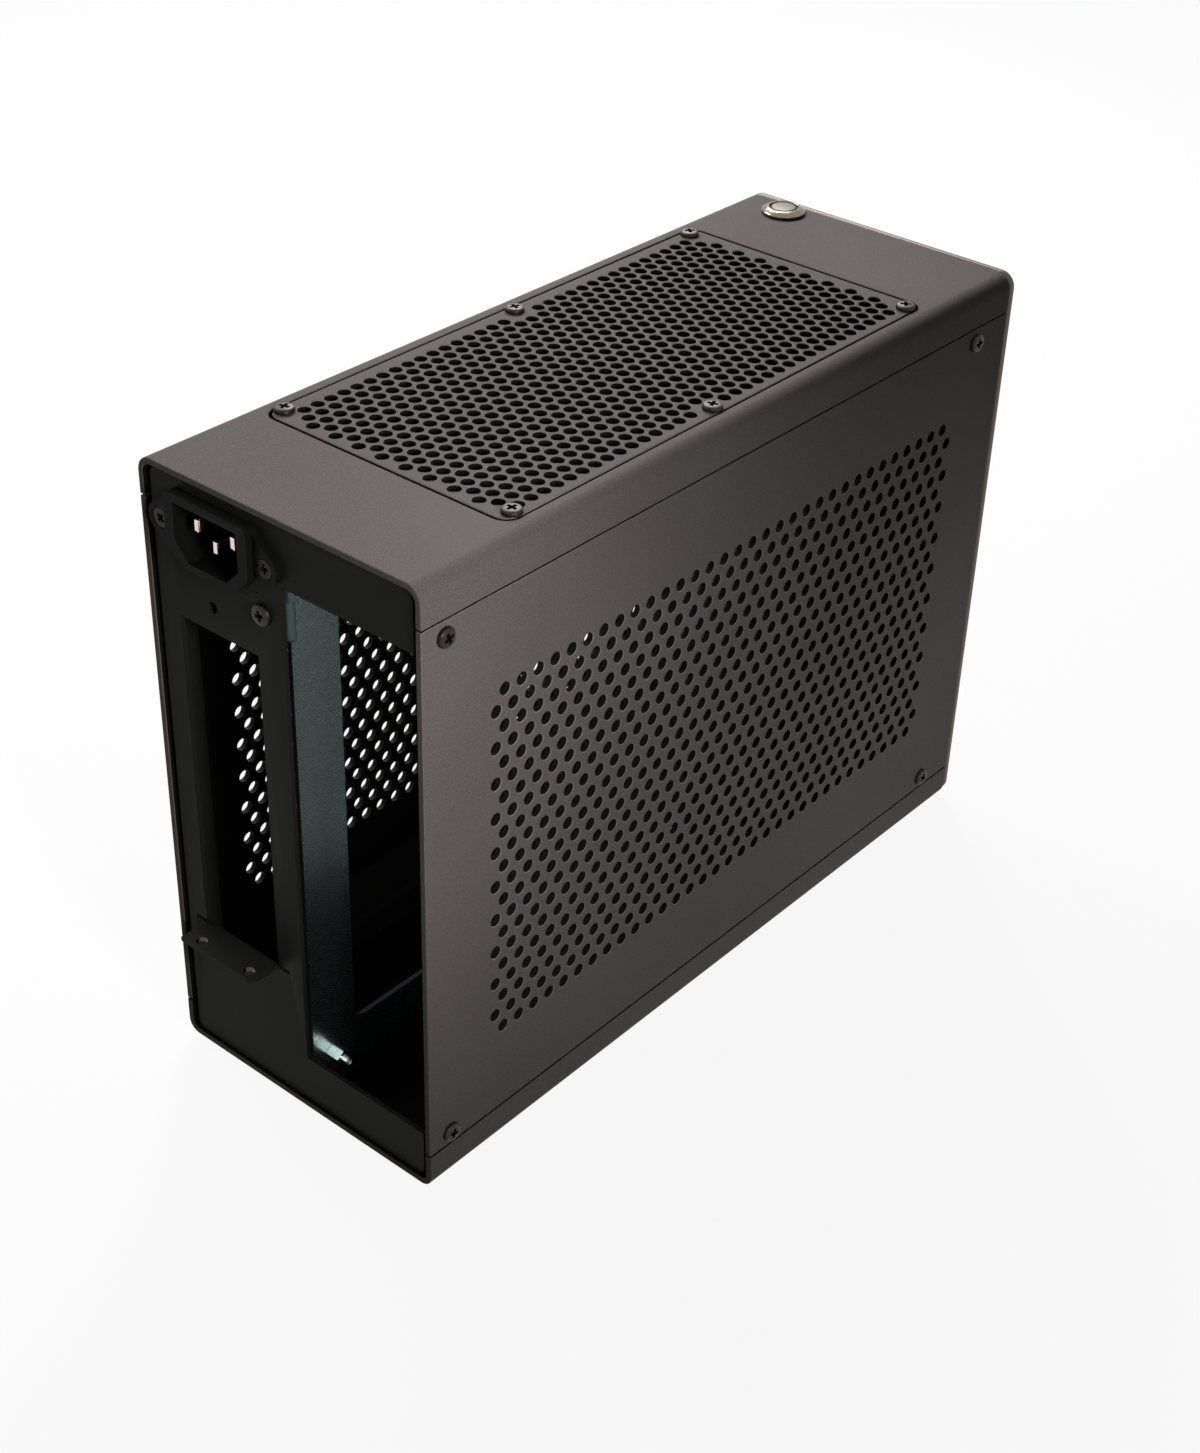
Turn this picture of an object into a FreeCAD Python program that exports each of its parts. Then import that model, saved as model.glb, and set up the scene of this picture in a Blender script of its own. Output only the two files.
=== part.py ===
# A small two-compartment computer case of folded sheet, in millimetres.
# X runs across the case, towards the graphics card's side. Y runs to the rear. Z is up.
# The origin is on the surface that the feet stand on, in the middle of the whole outline.
import FreeCAD, Part
import math
import os
import re

V = FreeCAD.Vector
doc = FreeCAD.newDocument("computer_case")
sheet = doc.addObject("Spreadsheet::Sheet", "dims")

# Driving sizes: alias, value, meaning
SIZES = [
    ("case_width", 104.0, "over the two side panels"),
    ("case_depth", 269.0, "front plate to the shell's rear edge"),
    ("case_height", 200.0, "tray to cover, without the feet"),
    ("skin", 2.0, "sheet of the cover, tray and side panels"),
    ("cover_fold", 5.0, "outside radius of the cover's folds"),
    ("tray_fold", 4.0, "outside radius of the tray's folds"),
    ("flange_height", 12.0, "folded side of the cover and tray"),
    ("seam_gap", 0.4, "between a folded side and a side panel"),
    ("inner_sheet", 1.5, "sheet of the rails, rear panel, spine and chassis"),
    ("inner_fold", 2.5, "outside radius of a fold in the inner sheet"),
    ("fold_lap", 3.0, "flat part beside a fold"),
    ("sheet_gap", 0.3, "inner sheet to the shell"),
    ("foot_height", 2.0, "rubber foot"),
    ("foot_diameter", 12.0, "rubber foot at the floor"),
    ("foot_taper", 0.4, "foot narrows at the floor, each side"),
    ("foot_inset_x", 16.0, "foot centre to the side"),
    ("foot_inset_y", 24.0, "foot centre to the front or rear edge"),
    ("front_thickness", 3.0, "outer front plate"),
    ("front_chamfer", 0.7, "bright edge of the front plate"),
    ("front_grip", 2.1, "blind hole for a front plate screw"),
    ("front_screw_inset_x", 22.0, "front plate screw to the side"),
    ("front_screw_inset_z", 32.0, "front plate screw to the top or bottom"),
    ("rail_height", 20.0, "upright leg of a rail"),
    ("rail_width", 9.8, "level leg of a rail"),
    ("rail_fold", 3.5, "outside radius of a rail's fold"),
    ("chassis_flange", 12.0, "folded side of the rear panel and front chassis"),
    ("screw_diameter", 3.0, "shank of every machine screw"),
    ("screw_head", 6.0, "pan head diameter"),
    ("screw_head_height", 2.0, "pan head height"),
    ("screw_head_rim", 0.8, "upright edge of a pan head"),
    ("screw_head_crown", 4.0, "flat top of a pan head"),
    ("rear_screw_head", 6.6, "larger pan head on the rear panel"),
    ("screw_reach", 6.0, "shank under the head of the panel screws"),
    ("thread_gap", 0.05, "shank to its threaded hole, each side"),
    ("screw_clearance", 0.2, "shank to a plain hole, each side"),
    ("side_screw_rear", 8.3, "side panel screw to the rear edge"),
    ("side_screw_front", 20.5, "side panel screw to the front face"),
    ("side_screw_inset", 17.0, "side panel screw to the top or bottom"),
    ("side_field_front", 28.7, "side panel's perforated field to the front face"),
    ("side_field_inset", 40.7, "the same field to the top or bottom"),
    ("side_field_rear", 25.3, "the same field to the rear edge"),
    ("side_pitch", 19.4, "hexagonal openings of a side panel, along a row"),
    ("side_hexagon", 11.0, "hexagonal opening across its flats"),
    ("vent_side", 6.6, "vent opening to the cover's side"),
    ("vent_front", 42.2, "vent opening to the front face"),
    ("vent_corner", 5.0, "corner radius of that opening"),
    ("vent_gap", 0.5, "vent plate to the opening"),
    ("vent_setback", 38.0, "vent opening to the rear edge"),
    ("vent_screw_inset", 3.4, "vent screw to the opening's long edge"),
    ("vent_screw_end", 5.6, "vent screw to the opening's short edge"),
    ("vent_mid_gpu", 99.2, "middle vent screw on the card side to the opening's rear edge"),
    ("vent_mid_board", 88.2, "middle vent screw on the board side to the opening's rear edge"),
    ("vent_field_end", 3.9, "vent plate's perforated field to the opening's short edge"),
    ("vent_field_side", 5.4, "the same field to the opening's long edge"),
    ("vent_pitch", 13.0, "hexagonal openings of the vent plate, along a row"),
    ("vent_hexagon", 9.8, "hexagonal opening across its flats"),
    ("rear_recess", 1.0, "rear panel behind the shell's rear edge"),
    ("corner_slot", 1.6, "slot beside the rear panel's corners"),
    ("rear_corner", 3.0, "corner radius of the rear panel"),
    ("io_side", 52.5, "board opening's inner edge to the card side"),
    ("io_bottom", 18.5, "board opening above the tray's underside"),
    ("io_top", 20.5, "board opening below the cover's upper face"),
    ("io_corner", 0.8, "corner radius of the board opening"),
    ("card_side", 26.9, "card opening's middle to the card side"),
    ("card_width", 31.2, "card opening"),
    ("card_bottom", 48.6, "tab's upper face above the tray's underside"),
    ("card_top", 45.7, "card opening below the cover's upper face"),
    ("relief_reach", 4.6, "relief slot beside the tab"),
    ("relief_height", 1.4, "relief slot beside the tab"),
    ("tab_reach", 9.6, "tab past the shell's rear edge"),
    ("tab_hole", 3.5, "threaded hole in the tab"),
    ("tab_hole_spacing", 20.32, "two card brackets side by side"),
    ("tab_hole_setback", 2.8, "hole to the tab's free edge"),
    ("tab_width", 30.4, "tab bent out under the card opening"),
    ("tab_side", 27.2, "tab's middle to the card side"),
    ("tab_hole_side", 28.2, "middle of the two holes to the card side"),
    ("tab_corner", 3.0, "round corner of the tab beside the spine"),
    ("rear_screw_side", 45.3, "screw into the spine's rear flange, to the card side"),
    ("rear_screw_drop", 31.5, "the same, below the cover's upper face"),
    ("spare_hole", 3.5, "bare hole in the rear panel"),
    ("spare_hole_side", 25.2, "the same, to the card side"),
    ("spare_hole_drop", 37.8, "the same, below the cover's upper face"),
    ("spine_side", 54.0, "spine's board face to the card side"),
    ("spine_top_gap", 1.5, "spine below the cover"),
    ("spine_floor_flange", 14.0, "spine's floor flange"),
    ("spine_rear_flange", 13.0, "spine's rear flange, across"),
    ("spine_flange_height", 12.0, "spine's rear flange, upright"),
    ("window_rear", 19.5, "spine's window to the shell's rear edge"),
    ("window_length", 150.0, "spine's window, front to rear"),
    ("window_bottom", 22.5, "spine's window above the tray's underside"),
    ("window_drop", 6.48, "spine's window below the board's upper fixing holes"),
    ("window_corner", 4.0, "corner radius of the window"),
    ("floor_screw_inset", 6.0, "spine's floor screw to the flange's edge"),
    ("floor_screw_end", 45.0, "spine's floor screw to the front or rear edge"),
    ("board_hole_rear", 10.0, "board's rear fixing holes to the shell's rear edge"),
    ("board_hole_bottom", 16.0, "board's lower fixing holes above the tray's underside"),
    ("board_span_y", 154.94, "board's fixing holes, front to rear"),
    ("board_span_z", 157.48, "board's fixing holes, upright"),
    ("standoff_flats", 5.5, "hexagonal spacer across its flats"),
    ("standoff_length", 5.0, "hexagonal spacer"),
    ("standoff_collar", 3.0, "round ends of the spacer"),
    ("standoff_nose", 2.0, "round end past the hexagon"),
    ("standoff_bore", 2.0, "thread in the spacer"),
    ("inlet_side", 29.0, "mains inlet's middle to the card side"),
    ("inlet_drop", 15.8, "mains inlet's middle below the cover's upper face"),
    ("inlet_screw_span", 40.0, "between the inlet's screws"),
    ("inlet_ear", 4.8, "end radius of the inlet's ears"),
    ("inlet_ear_angle", 34.0, "slope of an ear's sides, in degrees"),
    ("inlet_shoulder", 1.5, "corner radius between an ear and the rim"),
    ("inlet_sink", 1.4, "countersink in an ear"),
    ("inlet_ear_thickness", 2.0, "flange of the inlet"),
    ("inlet_rim_width", 31.8, "raised rim of the inlet"),
    ("inlet_rim_height", 21.1, "raised rim of the inlet"),
    ("inlet_rim_proud", 2.0, "rim past the flange"),
    ("inlet_rim_chamfer", 6.0, "lower corners of the rim"),
    ("socket_width", 24.5, "cavity of the inlet"),
    ("socket_height", 16.5, "cavity of the inlet"),
    ("socket_chamfer", 5.0, "lower corners of the cavity"),
    ("socket_depth", 15.8, "cavity of the inlet"),
    ("inlet_body_width", 28.8, "inlet in the panel's cut-out"),
    ("inlet_body_height", 19.7, "inlet in the panel's cut-out"),
    ("inlet_body_depth", 18.0, "inlet behind the panel's outer face"),
    ("blade_width", 2.0, "inlet contact"),
    ("blade_height", 4.0, "inlet contact"),
    ("blade_spread", 14.0, "between the two live contacts"),
    ("blade_drop", 4.0, "earth contact below the others"),
    ("blade_setback", 3.0, "contact tip inside the rim"),
    ("blade_tag", 7.0, "solder tag behind the inlet"),
    ("nut_flats", 5.5, "inlet nut across its flats"),
    ("nut_height", 2.4, "inlet nut"),
    ("button_side", 20.0, "button's middle to the card side"),
    ("button_front", 10.5, "button's middle to the front face"),
    ("button_head", 14.6, "bezel"),
    ("button_head_height", 2.1, "bezel above the cover"),
    ("button_rim", 0.6, "upright edge of the bezel"),
    ("button_crown", 10.8, "flat top of the bezel"),
    ("button_barrel", 12.0, "threaded barrel"),
    ("button_barrel_length", 18.0, "barrel below the cover's upper face"),
    ("button_groove", 9.7, "bore that holds the light ring"),
    ("button_groove_depth", 1.5, "bore that holds the light ring"),
    ("button_lip", 8.7, "guide bore of the plunger"),
    ("button_lip_depth", 3.0, "guide bore's lower end below the bezel's top"),
    ("plunger_diameter", 8.6, "pressed face"),
    ("plunger_bevel", 0.4, "edge of the pressed face"),
    ("plunger_flange", 9.6, "collar that stops it rising out"),
    ("plunger_flange_height", 1.4, "collar"),
    ("plunger_stem", 4.0, "stem inside the spring"),
    ("plunger_stem_length", 3.0, "stem below the collar"),
    ("plunger_travel", 1.2, "stroke"),
    ("plunger_gap", 0.3, "collar below the lip"),
    ("cavity_diameter", 10.2, "barrel's inside"),
    ("seal_inset", 0.4, "ring inside the bezel's edge"),
    ("seal_height", 0.5, "ring under the bezel"),
    ("ring_drop", 0.5, "light ring below the bezel's top"),
    ("ring_gap", 0.05, "light ring to its seat"),
    ("spring_wire", 0.5, "return spring"),
    ("spring_diameter", 6.6, "return spring, middle of the wire"),
    ("spring_turns", 4.0, "return spring"),
    ("spring_room", 6.0, "collar to the contact block"),
    ("button_nut_flats", 14.0, "nut under the cover"),
    ("button_nut_height", 2.5, "nut under the cover"),
    ("notch_room", 1.5, "front chassis about the button"),
    ("pin_width", 2.0, "button's pin"),
    ("pin_thickness", 0.6, "button's pin"),
    ("pin_length", 6.0, "button's pin below the block"),
    ("pin_spread", 4.0, "between the two pins"),
]
ALIASES = {alias for alias, _, _ in SIZES}
for row, (alias, size, meaning) in enumerate(SIZES, start=1):
    sheet.set(f"A{row}", meaning)
    sheet.set(f"B{row}", str(size))
    sheet.setAlias(f"B{row}", alias)
doc.recompute()

# Places worked out from the driving sizes, as expressions
BOTTOM = "foot_height"
TOP = "(foot_height + case_height)"
SIDE = "(case_width / 2)"
IN_X = "(case_width / 2 - skin)"
FRONT = "(-(case_depth + tab_reach) / 2)"
REAR = "((case_depth - tab_reach) / 2)"
SHELL_FRONT = f"({FRONT} + front_thickness)"
CHASSIS_BACK = f"({SHELL_FRONT} + inner_sheet)"
PANEL = f"({REAR} - rear_recess)"
PANEL_BACK = f"({PANEL} - inner_sheet)"
FLOOR = f"({BOTTOM} + skin)"
CEILING = f"({TOP} - skin)"
SHANK = "(screw_diameter / 2)"
THREAD = f"({SHANK} + thread_gap)"
PLAIN = f"({SHANK} + screw_clearance)"
CUT = "1"


def bound(text):
    """The same expression with each size's name pointing at the sheet."""
    return re.sub(r"[a-z_]+", lambda m: "dims." + m.group() if m.group() in ALIASES else m.group(), text)


def value(text):
    """The number that an expression gives now."""
    return float(sheet.evalExpression(bound(text)))


TURNS = {
    "+Z": FreeCAD.Rotation(),
    "-Z": FreeCAD.Rotation(V(1, 0, 0), 180),
    "+X": FreeCAD.Rotation(V(0, 1, 0), 90),
    "-X": FreeCAD.Rotation(V(0, 1, 0), -90),
    "+Y": FreeCAD.Rotation(V(1, 0, 0), -90),
    "-Y": FreeCAD.Rotation(V(1, 0, 0), 90),
    "profile XZ": FreeCAD.Rotation(V(1, 0, 0), 90),
    "profile YZ": FreeCAD.Rotation(V(1, 1, 1), 120),
    "profile XY": FreeCAD.Rotation(),
}


def place(item, at, along):
    """Turns an object to a direction and ties its place to the sheet."""
    item.Placement = FreeCAD.Placement(V(), TURNS[along])
    for axis, text in zip("xyz", at):
        item.setExpression(f"Placement.Base.{axis}", bound(text))
    return item


def block(name, x, y, z):
    """A block between a low and a high expression along each axis."""
    item = doc.addObject("Part::Box", name)
    for size, (low, high) in zip(("Length", "Width", "Height"), (x, y, z)):
        item.setExpression(size, bound(f"({high}) - ({low})"))
    return place(item, (x[0], y[0], z[0]), "+Z")


def rod(name, radius, length, at, along="+Z"):
    item = doc.addObject("Part::Cylinder", name)
    item.setExpression("Radius", bound(radius))
    item.setExpression("Height", bound(length))
    return place(item, at, along)


def cone(name, radius, end_radius, length, at, along="+Z"):
    item = doc.addObject("Part::Cone", name)
    item.setExpression("Radius1", bound(radius))
    item.setExpression("Radius2", bound(end_radius))
    item.setExpression("Height", bound(length))
    return place(item, at, along)


def hexagon(name, flats, length, at, along="+Z"):
    item = doc.addObject("Part::Prism", name)
    item.Polygon = 6
    item.setExpression("Circumradius", bound(f"({flats}) / sqrt(3)"))
    item.setExpression("Height", bound(length))
    return place(item, at, along)


def fuse(name, *pieces):
    item = doc.addObject("Part::MultiFuse", name)
    item.Shapes = list(pieces)
    item.Refine = True
    return item


def cut(name, base, *tools):
    item = doc.addObject("Part::Cut", name)
    item.Base = base
    item.Tool = tools[0] if len(tools) == 1 else fuse(name + "_tools", *tools)
    item.Refine = True
    return item


def origin_plane(body, role):
    return next(feature for feature in body.Origin.OriginFeatures if feature.Role == role)


def draw(body, name, role, corners):
    """A closed sketch through corners of (x, y, radius), with an arc where the radius isn't zero."""
    sketch = body.newObject("Sketcher::SketchObject", name)
    sketch.AttachmentSupport = [(origin_plane(body, role), "")]
    sketch.MapMode = "FlatFace"
    points = [V(x, y, 0) for x, y, _ in corners]
    ends = []
    for index, (_, _, radius) in enumerate(corners):
        here = points[index]
        back = (points[index - 1] - here).normalize()
        ahead = (points[(index + 1) % len(points)] - here).normalize()
        if radius == 0:
            ends.append((here, here))
            continue
        half = back.getAngle(ahead) / 2
        start = here + back * (radius / math.tan(half))
        finish = here + ahead * (radius / math.tan(half))
        middle = here + (back + ahead).normalize() * (radius / math.sin(half) - radius)
        sketch.addGeometry(Part.Arc(start, middle, finish), False)
        ends.append((start, finish))
    for index, (_, finish) in enumerate(ends):
        start = ends[(index + 1) % len(ends)][0]
        if finish.distanceToPoint(start) > 1e-6:
            sketch.addGeometry(Part.LineSegment(finish, start), False)
    return sketch


def padded(name, corners, length, at, along):
    """A body made by padding an outline, whose corners are expressions or numbers."""
    body = doc.addObject("PartDesign::Body", name)
    numbers = [tuple(value(str(item)) for item in corner) for corner in corners]
    pad = body.newObject("PartDesign::Pad", name + "_pad")
    pad.Profile = draw(body, name + "_outline", "XY_Plane", numbers)
    pad.setExpression("Length", bound(length))
    body.Tip = pad
    return place(body, at, along)


def turned(name, profile, at, along="+Z"):
    """A body made by turning a profile of (radius, height) corners about its own axis."""
    body = doc.addObject("PartDesign::Body", name)
    numbers = [(value(str(radius)), value(str(height)), 0) for radius, height in profile]
    turn = body.newObject("PartDesign::Revolution", name + "_turn")
    sketch = draw(body, name + "_profile", "XZ_Plane", numbers)
    turn.Profile = sketch
    turn.ReferenceAxis = (sketch, ["V_Axis"])
    turn.Angle = 360
    body.Tip = turn
    return place(body, at, along)


def rounded(low_x, high_x, low_y, high_y, radius):
    """Corners of a rounded rectangle."""
    return [(low_x, low_y, radius), (high_x, low_y, radius),
            (high_x, high_y, radius), (low_x, high_y, radius)]


def group(name, master, places):
    """Separate copies of one solid, each at (x, y, z, direction)."""
    doc.recompute()
    turn_back = master.Placement.inverse()
    copies = []
    for x, y, z, along in places:
        copy = master.Shape.copy()
        spot = FreeCAD.Placement(V(value(x), value(y), value(z)), TURNS[along])
        copy.Placement = spot.multiply(turn_back.multiply(copy.Placement))
        copies.append(copy)
    item = doc.addObject("Part::Feature", name)
    item.Shape = Part.Compound(copies)
    return item


def honeycomb(name, length, height, pitch, flats, depth):
    """Staggered hexagonal prisms that fill a field centred on the origin, upright along Z."""
    across = value(flats)
    step = value(pitch)
    row_step = step * math.sqrt(3) / 2
    tall = across * 2 / math.sqrt(3)
    rows = int((value(height) - tall) / row_step + 1e-6) + 1
    columns = int((value(length) - across) / step + 1e-6) + 1
    prisms = []
    for row in range(rows):
        count = columns - row % 2
        for column in range(count):
            x = (column - (count - 1) / 2) * step
            y = (row - (rows - 1) / 2) * row_step
            corners = [V(x + tall / 2 * math.sin(k * math.pi / 3),
                         y + tall / 2 * math.cos(k * math.pi / 3), 0) for k in range(7)]
            prisms.append(Part.Face(Part.makePolygon(corners)).extrude(V(0, 0, value(depth))))
    item = doc.addObject("Part::Feature", name)
    item.Shape = Part.Compound(prisms)
    return item


KEPT = []


def keep(item, label):
    """Names a finished sub-part."""
    item.Label = label
    KEPT.append(item)
    return item


# Screws: one pan-head master for each shank length
def pan_screw(name, reach, head="screw_head"):
    return turned(name, [(0, f"-({reach})"), (SHANK, f"-({reach})"), (SHANK, 0), (f"{head} / 2", 0),
                         (f"{head} / 2", "screw_head_rim"), ("screw_head_crown / 2", "screw_head_height"),
                         (0, "screw_head_height")], ("0", "0", "0"))


panel_screw = pan_screw("panel_screw", "screw_reach")

# Places of the screws
SIDE_SCREW_Y = [f"{REAR} - side_screw_rear", f"{FRONT} + side_screw_front"]
SIDE_SCREW_Z = [f"{BOTTOM} + side_screw_inset", f"{TOP} - side_screw_inset"]
VENT_REAR = f"({REAR} - vent_setback)"
VENT_FRONT = f"({FRONT} + vent_front)"
VENT_MIDDLE = f"(({VENT_REAR} + {VENT_FRONT}) / 2)"
VENT_HALF_X = f"({SIDE} - vent_side)"
VENT_HALF_Y = f"(({VENT_REAR} - {VENT_FRONT}) / 2)"
VENT_SCREW_X = f"({VENT_HALF_X} - vent_screw_inset)"
VENT_END_Y = [f"{VENT_REAR} - vent_screw_end", f"{VENT_FRONT} + vent_screw_end"]
VENT_SCREWS = {
    "": VENT_END_Y + [f"{VENT_REAR} - vent_mid_gpu"],
    "-": VENT_END_Y + [f"{VENT_REAR} - vent_mid_board"],
}
BUTTON_X = f"({SIDE} - button_side)"
BUTTON_Y = f"({FRONT} + button_front)"


# Top cover and bottom tray: one sheet each, folded down or up at both sides
def folded_shell(name, fold, upside_down):
    """A channel section with round folds, padded from the rear edge to the front plate."""
    inner = f"{fold} - skin"
    section = [
        (SIDE, "case_height - flange_height", 0), (SIDE, "case_height", fold),
        (f"-{SIDE}", "case_height", fold), (f"-{SIDE}", "case_height - flange_height", 0),
        (f"-{IN_X}", "case_height - flange_height", 0), (f"-{IN_X}", "case_height - skin", inner),
        (IN_X, "case_height - skin", inner), (IN_X, "case_height - flange_height", 0),
    ]
    if upside_down:
        section = [(x, f"case_height - ({z})", radius) for x, z, radius in section]
    return padded(name, section, f"{REAR} - {SHELL_FRONT}", ("0", REAR, BOTTOM), "profile XZ")


vent_hole = padded("vent_hole", rounded(f"-{VENT_HALF_X}", VENT_HALF_X, f"-{VENT_HALF_Y}", VENT_HALF_Y,
                                        "vent_corner"),
                   f"skin + 2 * {CUT}", ("0", VENT_MIDDLE, f"{CEILING} - {CUT}"), "profile XY")
button_hole = rod("button_hole", "button_barrel / 2 + screw_clearance", f"skin + 2 * {CUT}",
                  (BUTTON_X, BUTTON_Y, f"{CEILING} - {CUT}"))
keep(cut("cover", folded_shell("cover_sheet", "cover_fold", False), vent_hole, button_hole), "top_cover")

SPINE_X = f"({SIDE} - spine_side)"
FLOOR_FLANGE_X = f"({SPINE_X} + spine_floor_flange)"
FLOOR_SCREW_X = f"({FLOOR_FLANGE_X} - floor_screw_inset)"
FLOOR_SCREW_Y = [f"{FRONT} + floor_screw_end", f"({FRONT} + {REAR}) / 2", f"{REAR} - floor_screw_end"]
floor_holes = [rod(f"floor_hole_{i}", THREAD, f"skin + 2 * {CUT}", (FLOOR_SCREW_X, y, f"{BOTTOM} - {CUT}"))
               for i, y in enumerate(FLOOR_SCREW_Y)]
keep(cut("tray", folded_shell("tray_sheet", "tray_fold", True), *floor_holes), "bottom_tray")

# Perforated vent plate, flush in the cover
vent_sheet = padded("vent_sheet", rounded(f"vent_gap - {VENT_HALF_X}", f"{VENT_HALF_X} - vent_gap",
                                          f"vent_gap - {VENT_HALF_Y}", f"{VENT_HALF_Y} - vent_gap",
                                          "vent_corner - vent_gap"),
                    "skin", ("0", VENT_MIDDLE, CEILING), "profile XY")
vent_cells = honeycomb("vent_cells", f"2 * ({VENT_HALF_Y} - vent_field_end)",
                       f"2 * ({VENT_HALF_X} - vent_field_side)", "vent_pitch", "vent_hexagon",
                       f"skin + 2 * {CUT}")
vent_cells.Placement = FreeCAD.Placement(V(0, value(VENT_MIDDLE), value(f"{CEILING} - {CUT}")),
                                         FreeCAD.Rotation(V(0, 0, 1), 90))
vent_plain = [rod(f"vent_plain_{side}{i}", PLAIN, f"skin + 2 * {CUT}",
                  (f"{side}{VENT_SCREW_X}", y, f"{CEILING} - {CUT}"))
              for side, rows in VENT_SCREWS.items() for i, y in enumerate(rows)]
keep(cut("vent_plate", cut("vent_mesh", vent_sheet, vent_cells), *vent_plain), "top_vent_plate")
keep(group("vent_screw_set", panel_screw,
           [(f"{side}{VENT_SCREW_X}", y, TOP, "+Z") for side, rows in VENT_SCREWS.items() for y in rows]),
     "vent_screws")


# Perforated side panels
FIELD_REAR = f"({REAR} - side_field_rear)"
FIELD_FRONT = f"({FRONT} + side_field_front)"


def side_panel(label, side):
    low, high = (IN_X, SIDE) if side == "" else (f"-{SIDE}", f"-{IN_X}")
    plate = block(label + "_plate", (low, high), (SHELL_FRONT, REAR),
                  (f"{BOTTOM} + flange_height + seam_gap", f"{TOP} - flange_height - seam_gap"))
    cells = honeycomb(label + "_cells", f"{FIELD_REAR} - {FIELD_FRONT}", "case_height - 2 * side_field_inset",
                      "side_pitch", "side_hexagon", f"skin + 2 * {CUT}")
    middle = V(value(f"{low} - {CUT}"), value(f"({FIELD_REAR} + {FIELD_FRONT}) / 2"),
               value(f"{BOTTOM} + case_height / 2"))
    cells.Placement = FreeCAD.Placement(middle, TURNS["profile YZ"])
    holes = [rod(f"{label}_hole_{i}{j}", PLAIN, f"skin + 2 * {CUT}", (f"{low} - {CUT}", y, z), "+X")
             for i, y in enumerate(SIDE_SCREW_Y) for j, z in enumerate(SIDE_SCREW_Z)]
    return keep(cut(label + "_cut", cut(label + "_mesh", plate, cells), *holes), label)


side_panel("board_side_panel", "-")
side_panel("gpu_side_panel", "")
keep(group("side_screw_set", panel_screw,
           [(f"{side}{SIDE}", y, z, "+X" if side == "" else "-X")
            for side in ("", "-") for y in SIDE_SCREW_Y for z in SIDE_SCREW_Z]),
     "side_panel_screws")


# Rails: folded angles inside the four long seams
def rail(label, side, upper):
    """An angle whose upright leg backs a side panel. The upper ones also carry the vent plate."""
    section = [
        (IN_X, f"{CEILING} - rail_height", 0), (IN_X, CEILING, "rail_fold"),
        (f"{IN_X} - rail_width", CEILING, 0), (f"{IN_X} - rail_width", f"{CEILING} - inner_sheet", 0),
        (f"{IN_X} - inner_sheet", f"{CEILING} - inner_sheet", "rail_fold - inner_sheet"),
        (f"{IN_X} - inner_sheet", f"{CEILING} - rail_height", 0),
    ]
    section = [(f"{side}({x})", z if upper else f"{BOTTOM} + {TOP} - ({z})", radius)
               for x, z, radius in section]
    angle = padded(label + "_angle", section, f"{PANEL_BACK} - {CHASSIS_BACK}", ("0", PANEL_BACK, "0"),
                   "profile XZ")
    reach = f"inner_sheet + 2 * {CUT}"
    inner = f"{IN_X} - inner_sheet - {CUT}" if side == "" else f"-{IN_X} - {CUT}"
    z = SIDE_SCREW_Z[1] if upper else SIDE_SCREW_Z[0]
    holes = [rod(f"{label}_side_{i}", THREAD, reach, (inner, y, z), "+X") for i, y in enumerate(SIDE_SCREW_Y)]
    if upper:
        holes += [rod(f"{label}_vent_{i}", THREAD, reach,
                      (f"{side}{VENT_SCREW_X}", y, f"{CEILING} - inner_sheet - {CUT}"))
                  for i, y in enumerate(VENT_SCREWS[side])]
    return keep(cut(label + "_cut", angle, *holes), label)


for level in ("upper", "lower"):
    rail(f"{level}_rail_board_side", "-", level == "upper")
    rail(f"{level}_rail_gpu_side", "", level == "upper")

# Front: a thick outer plate with chamfered edges, on a folded inner chassis
front_plate = padded("front_plate", rounded(f"-{SIDE}", SIDE, "0", "case_height", "cover_fold"),
                     "front_thickness", ("0", SHELL_FRONT, BOTTOM), "profile XZ")
doc.recompute()
front_pad = front_plate.Tip
front_edge = front_plate.newObject("PartDesign::Chamfer", "front_edge")
front_edge.Base = (front_pad, [f"Face{number}" for number, face in enumerate(front_pad.Shape.Faces, start=1)
                               if face.Area > value("case_width * case_height / 2")])
front_edge.setExpression("Size", bound("front_chamfer"))
front_plate.Tip = front_edge
FRONT_SCREWS = [(f"{side}({SIDE} - front_screw_inset_x)", z) for side in ("", "-")
                for z in (f"{BOTTOM} + front_screw_inset_z", f"{TOP} - front_screw_inset_z")]
front_holes = [rod(f"front_hole_{i}", THREAD, "front_grip", (x, SHELL_FRONT, z), "-Y")
               for i, (x, z) in enumerate(FRONT_SCREWS)]
keep(cut("front_cut", front_plate, *front_holes), "front_panel")


def chassis_flange(name, side, outer, face, depth_sign, at_face):
    """A folded side of a chassis plate, between the rails. It shares the plate's thickness."""
    far = f"{face} - chassis_flange" if depth_sign < 0 else f"{face} + chassis_flange"
    near = f"{face} - inner_sheet" if depth_sign < 0 else f"{face} + inner_sheet"
    section = [(outer, far, 0), (outer, face, "inner_fold"), (at_face, face, 0), (at_face, near, 0),
               (f"{outer} - inner_sheet", near, "inner_fold - inner_sheet"),
               (f"{outer} - inner_sheet", far, 0)]
    section = [(f"{side}({x})", y, radius) for x, y, radius in section]
    low = f"{FLOOR} + rail_height + inner_sheet"
    return padded(name, section, f"{CEILING} - {FLOOR} - 2 * (rail_height + inner_sheet)", ("0", "0", low),
                  "profile XY")


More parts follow.
